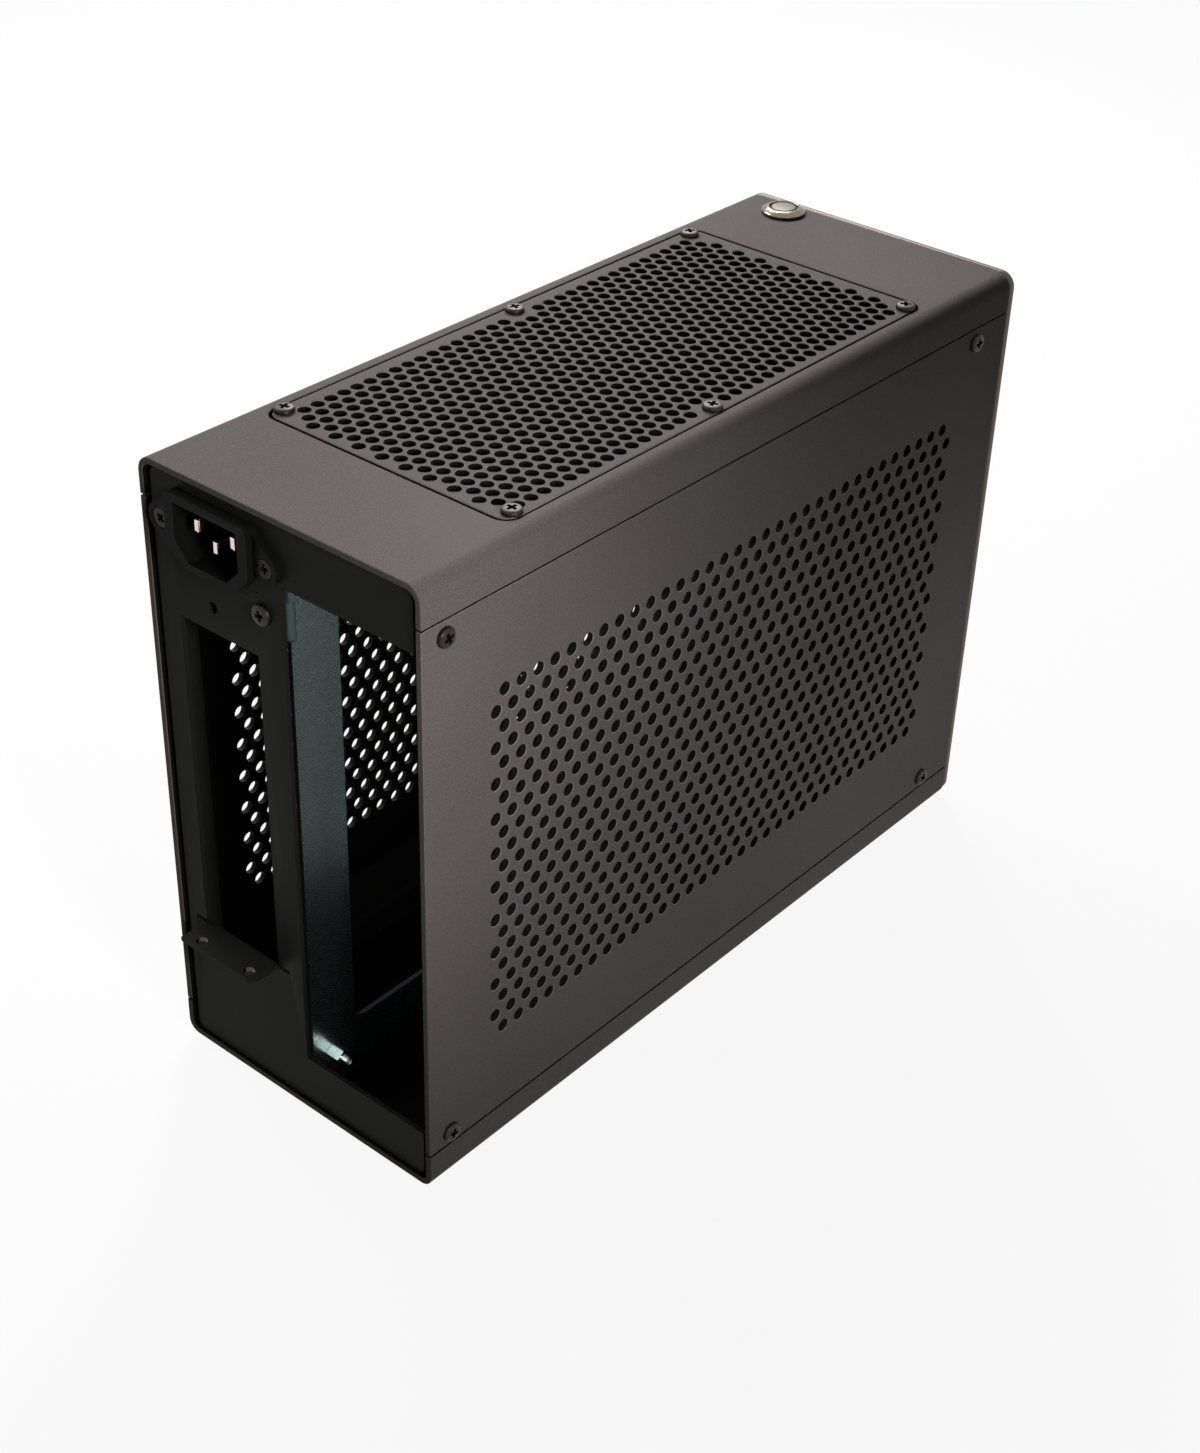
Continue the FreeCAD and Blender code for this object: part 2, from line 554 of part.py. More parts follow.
INNER_EDGE = f"({IN_X} - corner_slot)"
chassis_plate = padded("chassis_plate", rounded(f"-{INNER_EDGE}", INNER_EDGE, f"{FLOOR} + sheet_gap",
                                                f"{CEILING} - sheet_gap", "rear_corner"),
                       "inner_sheet", ("0", CHASSIS_BACK, "0"), "profile XZ")
chassis_sides = [chassis_flange(f"chassis_side_{name}", side, IN_X, SHELL_FRONT, 1,
                                f"{INNER_EDGE} - fold_lap")
                 for name, side in (("gpu", ""), ("board", "-"))]
NUT_ROOM = "(button_nut_flats / sqrt(3) + notch_room)"
nut_notch = block("nut_notch", (f"{BUTTON_X} - {NUT_ROOM}", f"{BUTTON_X} + {NUT_ROOM}"),
                  (f"{SHELL_FRONT} - {CUT}", f"{CHASSIS_BACK} + {CUT}"),
                  (f"{TOP} - button_barrel_length - pin_length - notch_room", f"{TOP}"))
chassis_holes = [rod(f"chassis_hole_{i}", PLAIN, f"inner_sheet + 2 * {CUT}",
                     (x, f"{CHASSIS_BACK} + {CUT}", z), "-Y")
                 for i, (x, z) in enumerate(FRONT_SCREWS)]
keep(cut("chassis_cut", fuse("chassis_fold", chassis_plate, *chassis_sides), nut_notch, *chassis_holes),
     "front_chassis")
front_screw = pan_screw("front_screw", "inner_sheet + front_grip")
keep(group("front_screw_set", front_screw, [(x, CHASSIS_BACK, z, "+Y") for x, z in FRONT_SCREWS]),
     "front_panel_screws")

# Rear panel: open to the board side, with one folded side and a tab bent out under the card opening
IO_LOW = f"{BOTTOM} + io_bottom"
IO_HIGH = f"{TOP} - io_top"
IO_X = f"({SIDE} - io_side)"
PLATE_LOW = f"{FLOOR} + sheet_gap"
PLATE_HIGH = f"{CEILING} - sheet_gap"
rear_outline = [
    (INNER_EDGE, PLATE_LOW, "rear_corner"), (INNER_EDGE, PLATE_HIGH, "rear_corner"),
    (f"-{INNER_EDGE}", PLATE_HIGH, "rear_corner"), (f"-{INNER_EDGE}", IO_HIGH, 0),
    (IO_X, IO_HIGH, "io_corner"), (IO_X, IO_LOW, "io_corner"),
    (f"-{INNER_EDGE}", IO_LOW, 0), (f"-{INNER_EDGE}", PLATE_LOW, "rear_corner"),
]
rear_plate = padded("rear_plate", rear_outline, "inner_sheet", ("0", PANEL, "0"), "profile XZ")
rear_side = chassis_flange("rear_side", "", IN_X, PANEL, -1, f"{INNER_EDGE} - fold_lap")
CARD_LOW = f"({SIDE} - card_side - card_width / 2)"
CARD_HIGH = f"({CARD_LOW} + card_width)"
TAB_TOP = f"({BOTTOM} + card_bottom)"
TAB_END = f"({REAR} + tab_reach)"
THROUGH_Y = (f"{PANEL_BACK} - {CUT}", f"{PANEL} + {CUT}")
card_opening = block("card_opening", (CARD_LOW, CARD_HIGH), THROUGH_Y,
                     (f"{TAB_TOP} - inner_fold", f"{TOP} - card_top"))
relief_slots = block("relief_slots", (f"{CARD_LOW} - relief_reach", f"{CARD_HIGH} + relief_reach"), THROUGH_Y,
                     (f"{TAB_TOP} - relief_height", f"{TAB_TOP}"))
tab_section = [
    (PANEL_BACK, f"{TAB_TOP} - 2 * inner_fold", 0), (PANEL_BACK, TAB_TOP, "inner_fold"),
    (TAB_END, TAB_TOP, 0), (TAB_END, f"{TAB_TOP} - inner_sheet", 0),
    (PANEL, f"{TAB_TOP} - inner_sheet", "inner_fold - inner_sheet"),
    (PANEL, f"{TAB_TOP} - 2 * inner_fold", 0),
]
TAB_LOW = f"({SIDE} - tab_side - tab_width / 2)"
tab = padded("tab", tab_section, "tab_width", (TAB_LOW, "0", "0"), "profile YZ")
TAB_HOLE_Y = f"({TAB_END} - tab_hole_setback)"
TAB_HOLES_X = [f"{SIDE} - tab_hole_side {sign} tab_hole_spacing / 2" for sign in "-+"]
tab_corner = cut("tab_corner",
                 block("tab_corner_square", (f"{TAB_LOW} - {CUT}", f"{TAB_LOW} + tab_corner"),
                       (f"{TAB_END} - tab_corner", f"{TAB_END} + {CUT}"),
                       (f"{TAB_TOP} - inner_sheet - {CUT}", f"{TAB_TOP} + {CUT}")),
                 rod("tab_corner_round", "tab_corner", f"inner_sheet + 4 * {CUT}",
                     (f"{TAB_LOW} + tab_corner", f"{TAB_END} - tab_corner",
                      f"{TAB_TOP} - inner_sheet - 2 * {CUT}")))
tab_holes = [rod(f"tab_hole_{i}", "tab_hole / 2", f"inner_sheet + 2 * {CUT}",
                 (x, TAB_HOLE_Y, f"{TAB_TOP} - inner_sheet - {CUT}")) for i, x in enumerate(TAB_HOLES_X)]
INLET_X = f"({SIDE} - inlet_side)"
INLET_Z = f"({TOP} - inlet_drop)"
INLET_SCREWS_X = [f"({INLET_X} {sign} inlet_screw_span / 2)" for sign in "-+"]
HOLE_HALF_X = "(inlet_body_width / 2 + sheet_gap)"
HOLE_HALF_Z = "(inlet_body_height / 2 + sheet_gap)"
inlet_hole = block("inlet_hole", (f"{INLET_X} - {HOLE_HALF_X}", f"{INLET_X} + {HOLE_HALF_X}"), THROUGH_Y,
                   (f"{INLET_Z} - {HOLE_HALF_Z}", f"{INLET_Z} + {HOLE_HALF_Z}"))
THROUGH = f"inner_sheet + 2 * {CUT}"
rear_holes = [rod(f"rear_inlet_hole_{i}", PLAIN, THROUGH, (x, THROUGH_Y[0], INLET_Z), "+Y")
              for i, x in enumerate(INLET_SCREWS_X)]
REAR_SCREW_X = f"({SIDE} - rear_screw_side)"
REAR_SCREW_Z = f"({TOP} - rear_screw_drop)"
rear_holes.append(rod("rear_screw_hole", PLAIN, THROUGH, (REAR_SCREW_X, THROUGH_Y[0], REAR_SCREW_Z), "+Y"))
rear_holes.append(rod("rear_spare_hole", "spare_hole / 2", THROUGH,
                      (f"{SIDE} - spare_hole_side", THROUGH_Y[0], f"{TOP} - spare_hole_drop"),
                      "+Y"))
rear_flat = cut("rear_flat", fuse("rear_fold", rear_plate, rear_side), card_opening, relief_slots, inlet_hole,
                *rear_holes)
keep(cut("rear_cut", fuse("rear_bent", rear_flat, tab), tab_corner, *tab_holes), "rear_panel")
rear_screw = pan_screw("rear_screw", "screw_reach", "rear_screw_head")
keep(group("rear_screw_set", rear_screw, [(REAR_SCREW_X, PANEL, REAR_SCREW_Z, "+Y")]), "rear_panel_screw")

# Spine: upright plate between the compartments, folded at the floor and behind the rear panel
SPINE_BACK = f"({SPINE_X} + inner_sheet)"
spine_section = [
    (SPINE_X, f"{CEILING} - spine_top_gap", 0), (SPINE_X, FLOOR, "inner_fold"),
    (FLOOR_FLANGE_X, FLOOR, 0), (FLOOR_FLANGE_X, f"{FLOOR} + inner_sheet", 0),
    (SPINE_BACK, f"{FLOOR} + inner_sheet", "inner_fold - inner_sheet"),
    (SPINE_BACK, f"{CEILING} - spine_top_gap", 0),
]
spine_sheet = padded("spine_sheet", spine_section, f"{PANEL_BACK} - {CHASSIS_BACK}", ("0", PANEL_BACK, "0"),
                     "profile XZ")
WINDOW_Y = f"({REAR} - window_rear - window_length)"
WINDOW_Z = f"({BOTTOM} + window_bottom)"
BOARD_Y = f"({REAR} - board_hole_rear)"
BOARD_Z = f"({BOTTOM} + board_hole_bottom)"
BOARD_HIGH = f"({BOARD_Z} + board_span_z)"
ACROSS = (f"{SPINE_X} - {CUT}", f"{SPINE_BACK} + {CUT}")
WINDOW_HEIGHT = f"{BOARD_HIGH} - window_drop - {WINDOW_Z}"
window = padded("window", rounded("0", "window_length", "0", WINDOW_HEIGHT, "window_corner"),
                f"inner_sheet + 2 * {CUT}", (ACROSS[0], WINDOW_Y, WINDOW_Z), "profile YZ")
FLANGE_Z = (f"{REAR_SCREW_Z} - spine_flange_height / 2", f"{REAR_SCREW_Z} + spine_flange_height / 2")
flange_room = block("flange_room", ACROSS, (f"{PANEL_BACK} - inner_fold", f"{PANEL_BACK} + {CUT}"), FLANGE_Z)
REAR_FLANGE_X = f"({SPINE_X} + spine_rear_flange)"
spine_tab_section = [
    (SPINE_X, f"{PANEL_BACK} - 2 * inner_fold", 0), (SPINE_X, PANEL_BACK, "inner_fold"),
    (REAR_FLANGE_X, PANEL_BACK, 0), (REAR_FLANGE_X, f"{PANEL_BACK} - inner_sheet", 0),
    (SPINE_BACK, f"{PANEL_BACK} - inner_sheet", "inner_fold - inner_sheet"),
    (SPINE_BACK, f"{PANEL_BACK} - 2 * inner_fold", 0),
]
spine_tab = padded("spine_tab", spine_tab_section, "spine_flange_height", ("0", "0", FLANGE_Z[0]),
                   "profile XY")
STANDOFFS = [(BOARD_Y, BOARD_Z), (f"{BOARD_Y} - board_span_y", BOARD_Z),
             (f"{BOARD_Y} - board_span_y", BOARD_HIGH)]
standoff_holes = [rod(f"standoff_hole_{i}", "standoff_collar / 2 + thread_gap", f"inner_sheet + 2 * {CUT}",
                      (ACROSS[0], y, z), "+X") for i, (y, z) in enumerate(STANDOFFS)]
spine_floor = [rod(f"spine_floor_{i}", PLAIN, THROUGH, (FLOOR_SCREW_X, y, f"{FLOOR} - {CUT}"))
               for i, y in enumerate(FLOOR_SCREW_Y)]
flange_hole = rod("flange_hole", THREAD, f"inner_sheet + 2 * {CUT}",
                  (REAR_SCREW_X, f"{PANEL_BACK} - inner_sheet - {CUT}", REAR_SCREW_Z), "+Y")
spine_open = cut("spine_open", spine_sheet, window, flange_room, *standoff_holes)
keep(cut("spine_cut", fuse("spine_bent", spine_open, spine_tab), flange_hole, *spine_floor), "spine")
floor_screw = pan_screw("floor_screw", "inner_sheet + skin")
keep(group("floor_screw_set", floor_screw,
           [(FLOOR_SCREW_X, y, f"{FLOOR} + inner_sheet", "+Z") for y in FLOOR_SCREW_Y]), "spine_floor_screws")

# Spacers for the board: a hexagon with a round end each side, pressed into the spine
spacer_hex = hexagon("spacer_hex", "standoff_flats", "standoff_length", ("0", "0", "0"))
spacer_ends = rod("spacer_ends", "standoff_collar / 2", "inner_sheet + standoff_length + standoff_nose",
                  ("0", "0", "-inner_sheet"))
spacer_bore = rod("spacer_bore", "standoff_bore / 2", "standoff_length + standoff_nose",
                  ("0", "0", CUT))
spacer = cut("spacer", fuse("spacer_solid", spacer_hex, spacer_ends), spacer_bore)
keep(group("spacer_set", spacer, [(SPINE_X, y, z, "-X") for y, z in STANDOFFS]), "board_standoffs")


# Mains inlet: flange with two ears, raised rim and a socket with two cut corners
def socket_outline(width, height, chamfer):
    """A rectangle centred on the inlet, with its two lower corners cut off."""
    half_x, half_z = f"({width} / 2)", f"({height} / 2)"
    return [(f"-{half_x}", half_z, 0), (f"-{half_x}", f"{chamfer} - {half_z}", 0),
            (f"{chamfer} - {half_x}", f"-{half_z}", 0), (f"{half_x} - {chamfer}", f"-{half_z}", 0),
            (half_x, f"{chamfer} - {half_z}", 0), (half_x, half_z, 0)]


EAR_FACE = f"({PANEL} + inlet_ear_thickness)"
RIM_FACE = f"({EAR_FACE} + inlet_rim_proud)"
ear_angle = math.radians(value("inlet_ear_angle"))
ear_top = value("inlet_rim_height / 2")
ear_point = value("inlet_screw_span / 2") + value("inlet_ear") / math.sin(ear_angle)
ear_root = ear_point - ear_top / math.tan(ear_angle)
ear_corners = [
    (ear_point, 0, "inlet_ear"), (ear_root, ear_top, "inlet_shoulder"),
    (-ear_root, ear_top, "inlet_shoulder"),
    (-ear_point, 0, "inlet_ear"), (-ear_root, -ear_top, "inlet_shoulder"),
    (ear_root, -ear_top, "inlet_shoulder"),
]
inlet_flange = padded("inlet_flange", ear_corners, "inlet_ear_thickness", (INLET_X, EAR_FACE, INLET_Z),
                      "profile XZ")
inlet_rim = padded("inlet_rim", socket_outline("inlet_rim_width", "inlet_rim_height", "inlet_rim_chamfer"),
                   "inlet_ear_thickness + inlet_rim_proud", (INLET_X, RIM_FACE, INLET_Z), "profile XZ")
inlet_back = padded("inlet_back", socket_outline("inlet_body_width", "inlet_body_height", "socket_chamfer"),
                    "inlet_body_depth", (INLET_X, PANEL, INLET_Z), "profile XZ")
socket = padded("socket", socket_outline("socket_width", "socket_height", "socket_chamfer"),
                f"socket_depth + {CUT}", (INLET_X, f"{RIM_FACE} + {CUT}", INLET_Z), "profile XZ")
countersinks = [cone(f"countersink_{i}", PLAIN, "screw_head / 2", "inlet_sink",
                     (x, f"{EAR_FACE} - inlet_sink", INLET_Z), "+Y")
                for i, x in enumerate(INLET_SCREWS_X)]
ear_holes = [rod(f"ear_hole_{i}", PLAIN, f"inlet_ear_thickness + 2 * {CUT}",
                 (x, f"{PANEL} - {CUT}", INLET_Z), "+Y") for i, x in enumerate(INLET_SCREWS_X)]
BLADES = [(f"{INLET_X} - blade_spread / 2", f"{INLET_Z} + blade_drop / 2"),
          (INLET_X, f"{INLET_Z} - blade_drop / 2"),
          (f"{INLET_X} + blade_spread / 2", f"{INLET_Z} + blade_drop / 2")]


def blade(name, x, z):
    return block(name, (f"{x} - blade_width / 2", f"{x} + blade_width / 2"),
                 (f"{PANEL} - inlet_body_depth - blade_tag", f"{RIM_FACE} - blade_setback"),
                 (f"{z} - blade_height / 2", f"{z} + blade_height / 2"))


blade_slots = [blade(f"blade_slot_{i}", x, z) for i, (x, z) in enumerate(BLADES)]
keep(cut("inlet_cut", fuse("inlet_solid", inlet_flange, inlet_rim, inlet_back), socket, *countersinks,
         *ear_holes, *blade_slots), "inlet_housing")
blades = doc.addObject("Part::Compound", "blades")
blades.Links = [blade(f"blade_{i}", x, z) for i, (x, z) in enumerate(BLADES)]
keep(blades, "inlet_blades")
SUNK_REACH = "(inlet_ear_thickness + inner_sheet + nut_height)"
sunk_screw = turned("sunk_screw", [(0, f"-{SUNK_REACH}"), (SHANK, f"-{SUNK_REACH}"), (SHANK, "-inlet_sink"),
                                   ("screw_head / 2 - screw_clearance", 0), (0, 0)], ("0", "0", "0"))
keep(group("inlet_screw_set", sunk_screw, [(x, EAR_FACE, INLET_Z, "+Y") for x in INLET_SCREWS_X]),
     "inlet_screws")
nut = cut("nut", hexagon("nut_hex", "nut_flats", "nut_height", ("0", "0", "0")),
          rod("nut_bore", THREAD, f"nut_height + 2 * {CUT}", ("0", "0", f"-{CUT}")))
keep(group("inlet_nut_set", nut, [(x, PANEL_BACK, INLET_Z, "-Y") for x in INLET_SCREWS_X]), "inlet_nuts")

# Power button: heights are counted from the cover's upper face
BUTTON = (BUTTON_X, BUTTON_Y, TOP)
LIP_TOP = "(button_head_height - button_groove_depth)"
LIP_LOW = "(button_head_height - button_lip_depth)"
BARREL_LOW = "-button_barrel_length"
HEAD_TOP = "button_head_height"
RING_TOP = "button_head_height - ring_drop"
SEAL_BORE = "button_barrel / 2 + screw_clearance"
keep(turned("bezel", [
    ("button_groove / 2", LIP_TOP), ("button_groove / 2", HEAD_TOP), ("button_crown / 2", HEAD_TOP),
    ("button_head / 2", "seal_height + button_rim"), ("button_head / 2", "seal_height"),
    ("button_barrel / 2", "seal_height"), ("button_barrel / 2", BARREL_LOW),
    ("cavity_diameter / 2", BARREL_LOW), ("cavity_diameter / 2", LIP_LOW),
    ("button_lip / 2", LIP_LOW), ("button_lip / 2", LIP_TOP),
], BUTTON), "button_bezel")
keep(turned("seal", [
    (SEAL_BORE, 0), ("button_head / 2 - seal_inset", 0), ("button_head / 2 - seal_inset", "seal_height"),
    (SEAL_BORE, "seal_height"),
], BUTTON), "button_seal")
keep(turned("light_ring", [
    ("button_lip / 2", LIP_TOP), ("button_groove / 2 - ring_gap", LIP_TOP),
    ("button_groove / 2 - ring_gap", RING_TOP), ("button_lip / 2", RING_TOP),
], BUTTON), "button_light_ring")
COLLAR_TOP = f"({LIP_LOW} - plunger_gap)"
COLLAR_LOW = f"({COLLAR_TOP} - plunger_flange_height)"
keep(turned("plunger", [
    (0, f"{COLLAR_LOW} - plunger_stem_length"), ("plunger_stem / 2", f"{COLLAR_LOW} - plunger_stem_length"),
    ("plunger_stem / 2", COLLAR_LOW), ("plunger_flange / 2", COLLAR_LOW), ("plunger_flange / 2", COLLAR_TOP),
    ("plunger_diameter / 2", COLLAR_TOP), ("plunger_diameter / 2", "button_head_height - plunger_bevel"),
    ("plunger_diameter / 2 - plunger_bevel", "button_head_height"), (0, "button_head_height"),
], BUTTON), "button_plunger")
BLOCK_TOP = f"({COLLAR_LOW} - spring_room)"
BLOCK_RADIUS = "cavity_diameter / 2 - ring_gap"
keep(turned("contact_block", [(0, BARREL_LOW), (BLOCK_RADIUS, BARREL_LOW), (BLOCK_RADIUS, BLOCK_TOP),
                              (0, BLOCK_TOP)], BUTTON), "button_contact_block")


def pin(name, offset):
    middle = f"{BUTTON_X} + {offset}"
    return block(name, (f"{middle} - pin_thickness / 2", f"{middle} + pin_thickness / 2"),
                 (f"{BUTTON_Y} - pin_width / 2", f"{BUTTON_Y} + pin_width / 2"),
                 (f"{TOP} + {BARREL_LOW} - pin_length", f"{TOP} + {BARREL_LOW}"))


pins = doc.addObject("Part::Compound", "pins")
pins.Links = [pin("pin_gpu", "pin_spread / 2"), pin("pin_board", "-pin_spread / 2")]
keep(pins, "button_terminals")
button_nut = cut("button_nut_cut",
                 hexagon("button_nut_hex", "button_nut_flats", "button_nut_height",
                         (BUTTON_X, BUTTON_Y, f"{CEILING} - button_nut_height")),
                 rod("button_nut_bore", "button_barrel / 2 + thread_gap", f"button_nut_height + 2 * {CUT}",
                     (BUTTON_X, BUTTON_Y, f"{CEILING} - button_nut_height - {CUT}")))
keep(button_nut, "button_nut")


def coil_spring(name):
    """A square-wire helix between the plunger's collar and the contact block."""
    wire = value("spring_wire")
    rise = value("spring_room - spring_wire - 2 * ring_gap")
    radius = value("spring_diameter / 2")
    path = Part.makeHelix(rise / value("spring_turns"), rise, radius)
    square = [(-1, -1), (1, -1), (1, 1), (-1, 1), (-1, -1)]
    section = Part.makePolygon([V(radius + x * wire / 2, 0, z * wire / 2) for x, z in square])
    shape = Part.Wire(path).makePipeShell([section], True, True)
    item = doc.addObject("Part::Feature", name)
    item.Shape = shape
    low = value(f"{TOP} + {BLOCK_TOP} + spring_wire / 2 + ring_gap")
    item.Placement = FreeCAD.Placement(V(value(BUTTON_X), value(BUTTON_Y), low), TURNS["+Z"])
    return item


keep(coil_spring("spring"), "button_spring")

# Feet
foot = turned("foot", [(0, "-foot_height"), ("foot_diameter / 2 - foot_taper", "-foot_height"),
                       ("foot_diameter / 2", 0), (0, 0)], ("0", "0", "0"))
keep(group("foot_set", foot, [(f"{side}({SIDE} - foot_inset_x)", y, BOTTOM, "+Z") for side in ("", "-")
                              for y in (f"{FRONT} + foot_inset_y", f"{REAR} - foot_inset_y")]), "rubber_feet")

doc.recompute()
for item in doc.Objects:
    if "Invalid" in item.State or "Error" in item.State:
        raise RuntimeError(f"{item.Name} failed: {item.State}")
os.makedirs("parts", exist_ok=True)
for item in KEPT:
    if item.Shape.isNull() or not item.Shape.isValid() or not item.Shape.Solids:
        raise RuntimeError(f"{item.Label} has no valid solid")
    item.Shape.exportStep(f"parts/{item.Label}.step")
    box = item.Shape.BoundBox
    print(f"{item.Label}: {len(item.Shape.Solids)} solids, {item.Shape.Volume:.0f} mm3, "
          f"x {box.XMin:.1f} {box.XMax:.1f} y {box.YMin:.1f} {box.YMax:.1f} z {box.ZMin:.1f} {box.ZMax:.1f}")
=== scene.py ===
# %% [markdown]
# # A small computer case in folded sheet
# The case is a narrow box of coated sheet metal with two compartments, seen from behind and above. Its solids
# come from a CAD model, in metres, and each one is loaded here as a node with its place in its mesh. The
# lesson dresses those nodes: it eases their edges, makes the fine perforations and the screws, and gives
# every piece a finish. Nothing is fitted by eye, because both models share one frame: X to the card side, Y
# to the rear, Z up.

# %% Load the solids
from math import cos, pi, radians, sin
import bmesh
import bpy
from mathutils import Matrix, Vector


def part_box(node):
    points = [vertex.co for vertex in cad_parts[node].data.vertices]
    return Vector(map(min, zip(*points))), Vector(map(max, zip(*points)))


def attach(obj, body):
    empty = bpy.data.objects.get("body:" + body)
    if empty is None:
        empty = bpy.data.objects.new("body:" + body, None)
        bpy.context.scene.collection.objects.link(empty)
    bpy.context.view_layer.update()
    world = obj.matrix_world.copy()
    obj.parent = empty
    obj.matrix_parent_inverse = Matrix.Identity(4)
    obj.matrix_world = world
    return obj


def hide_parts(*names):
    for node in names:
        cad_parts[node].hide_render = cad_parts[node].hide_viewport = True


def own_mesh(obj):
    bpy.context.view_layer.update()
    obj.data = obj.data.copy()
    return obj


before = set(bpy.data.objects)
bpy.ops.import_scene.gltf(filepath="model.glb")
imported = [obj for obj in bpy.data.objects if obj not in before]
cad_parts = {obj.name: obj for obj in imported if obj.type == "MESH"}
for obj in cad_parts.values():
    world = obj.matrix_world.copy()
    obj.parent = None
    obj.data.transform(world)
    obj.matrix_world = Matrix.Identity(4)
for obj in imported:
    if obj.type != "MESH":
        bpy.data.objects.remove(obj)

scene = bpy.context.scene
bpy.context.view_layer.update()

# %% [markdown]
# ## The camera
# A picture taken from nearby has strong perspective, so the camera's place matters as much as its direction.
# Both were solved from the case's straight edges. A camera can be aimed with a Track To constraint, but this
# one also leans a little, so its three axes are written straight into its matrix.

# %% Camera behind, above and to the board side
MM = 0.001
AZIMUTH, ELEVATION, LEAN = radians(219.383), radians(33.839), radians(-1.926)
CAMERA_PLACE = Vector((-385.85, 466.81, 481.0)) * MM
LENS, SENSOR = 56.68, 36
back = Vector((sin(AZIMUTH) * cos(ELEVATION), -cos(AZIMUTH) * cos(ELEVATION), sin(ELEVATION)))
level = (-back).cross(Vector((0, 0, 1))).normalized()
down = (-back).cross(level)
right = level * cos(LEAN) + down * sin(LEAN)
up = level * sin(LEAN) - down * cos(LEAN)

camera = bpy.data.objects.new("camera", bpy.data.cameras.new("camera"))
camera.data.sensor_fit = "VERTICAL"
camera.data.sensor_height = SENSOR
camera.data.lens = LENS
camera.matrix_world = Matrix.LocRotScale(CAMERA_PLACE, Matrix((right, up, back)).transposed(), None)
scene.collection.objects.link(camera)
scene.camera = camera
scene.view_settings.view_transform = "Standard"
print("camera at", tuple(round(n, 3) for n in camera.location))

# %% [markdown]
# ## Shader maths as arithmetic
# A finish is a small sum: so much of the speckle, so much of the slow change. In the editor each plus sign is
# a Math node. Here one class wraps a node's output and overloads the operators, so a sum reads as a sum and
# its nodes are added behind it. Any other kind of node comes from the same class's node method.

# %% A wire between nodes
class Wire:
    """One output in a node tree. Adding or multiplying wires adds Math nodes."""

    def __init__(self, tree, socket=None):
        self.tree = tree
        self.socket = socket

    def node(self, kind, settings=None, sockets=None, out=0):
        """Adds a node, sets it up, fills its sockets and returns one of its outputs."""
        made = self.tree.nodes.new(kind)
        for name, setting in (settings or {}).items():
            setattr(made, name, setting)
        for name, given in (sockets or {}).items():
            if isinstance(given, Wire):
                self.tree.links.new(given.socket, made.inputs[name])
            else:
                made.inputs[name].default_value = given
        return Wire(self.tree, made.outputs[out] if made.outputs else None)

    def math(self, operation, first, second):
        return self.node("ShaderNodeMath", {"operation": operation}, {0: first, 1: second})

    def __add__(self, other):
        return self.math("ADD", self, other)

    def __radd__(self, other):
        return self.math("ADD", other, self)

    def __sub__(self, other):
        return self.math("SUBTRACT", self, other)

    def __rsub__(self, other):
        return self.math("SUBTRACT", other, self)

    def __mul__(self, other):
        return self.math("MULTIPLY", self, other)

    def __rmul__(self, other):
        return self.math("MULTIPLY", other, self)


print("wire operators", [name for name in vars(Wire) if name.startswith("__r")])

# %% [markdown]
# ## The studio
# The case stands on a plain white sweep. A white floor that is only lit turns grey at the back, and more
# lamps would burn out the case. So the floor and the world are white to the camera and to mirror-like rays,
# while the light on the case stays at a plain level. Part of the floor is still a matt surface, which keeps a
# soft shadow. It throws no light back on the case, so that the lamps alone decide where the case falls off
# into the dark.

# %% White world
WHITE = (1, 1, 1, 1)
AMBIENT = 0.05


def seen_directly(tree):
    """1 where a ray comes from the camera, a mirror or clear glass, and 0 where it lights a matt surface."""
    rays = Wire(tree).node("ShaderNodeLightPath", out="Is Camera Ray")
    for kind in ("Is Glossy Ray", "Is Transmission Ray"):
        rays = rays.math("MAXIMUM", rays, Wire(tree).node("ShaderNodeLightPath", out=kind))
    return rays


scene.world = bpy.data.worlds.new("white_studio")
scene.world.use_nodes = True
sky = scene.world.node_tree
sky.nodes.clear()
glow = Wire(sky).node("ShaderNodeBackground", sockets={
    "Color": WHITE, "Strength": AMBIENT + (1 - AMBIENT) * seen_directly(sky)})
glow.node("ShaderNodeOutputWorld", sockets={"Surface": glow})
print("world light", AMBIENT)

# %% Floor that keeps a soft shadow
FLOOR_GLOW, FLOOR_TONE = 0.91, 0.85
FLOOR_RADIUS = 4.0
floor_paint = bpy.data.materials.new("white_sweep")
floor_paint.use_nodes = True
floor_paint.node_tree.nodes.clear()
matt = Wire(floor_paint.node_tree).node("ShaderNodeBsdfDiffuse", sockets={
    "Color": (FLOOR_TONE, FLOOR_TONE, FLOOR_TONE, 1)})
lit = matt.node("ShaderNodeEmission", sockets={"Color": WHITE, "Strength": 1.0})
mixed = matt.node("ShaderNodeMixShader", sockets={
    0: FLOOR_GLOW * seen_directly(floor_paint.node_tree), 1: matt, 2: lit})
mixed.node("ShaderNodeOutputMaterial", sockets={"Surface": mixed})

disc = bmesh.new()
bmesh.ops.create_circle(disc, cap_ends=True, radius=FLOOR_RADIUS, segments=64)
floor_mesh = bpy.data.meshes.new("floor")
disc.to_mesh(floor_mesh)
disc.free()
floor_mesh.materials.append(floor_paint)
floor = bpy.data.objects.new("floor", floor_mesh)
floor.visible_diffuse = False
scene.collection.objects.link(floor)
print("floor", floor.dimensions[:2])


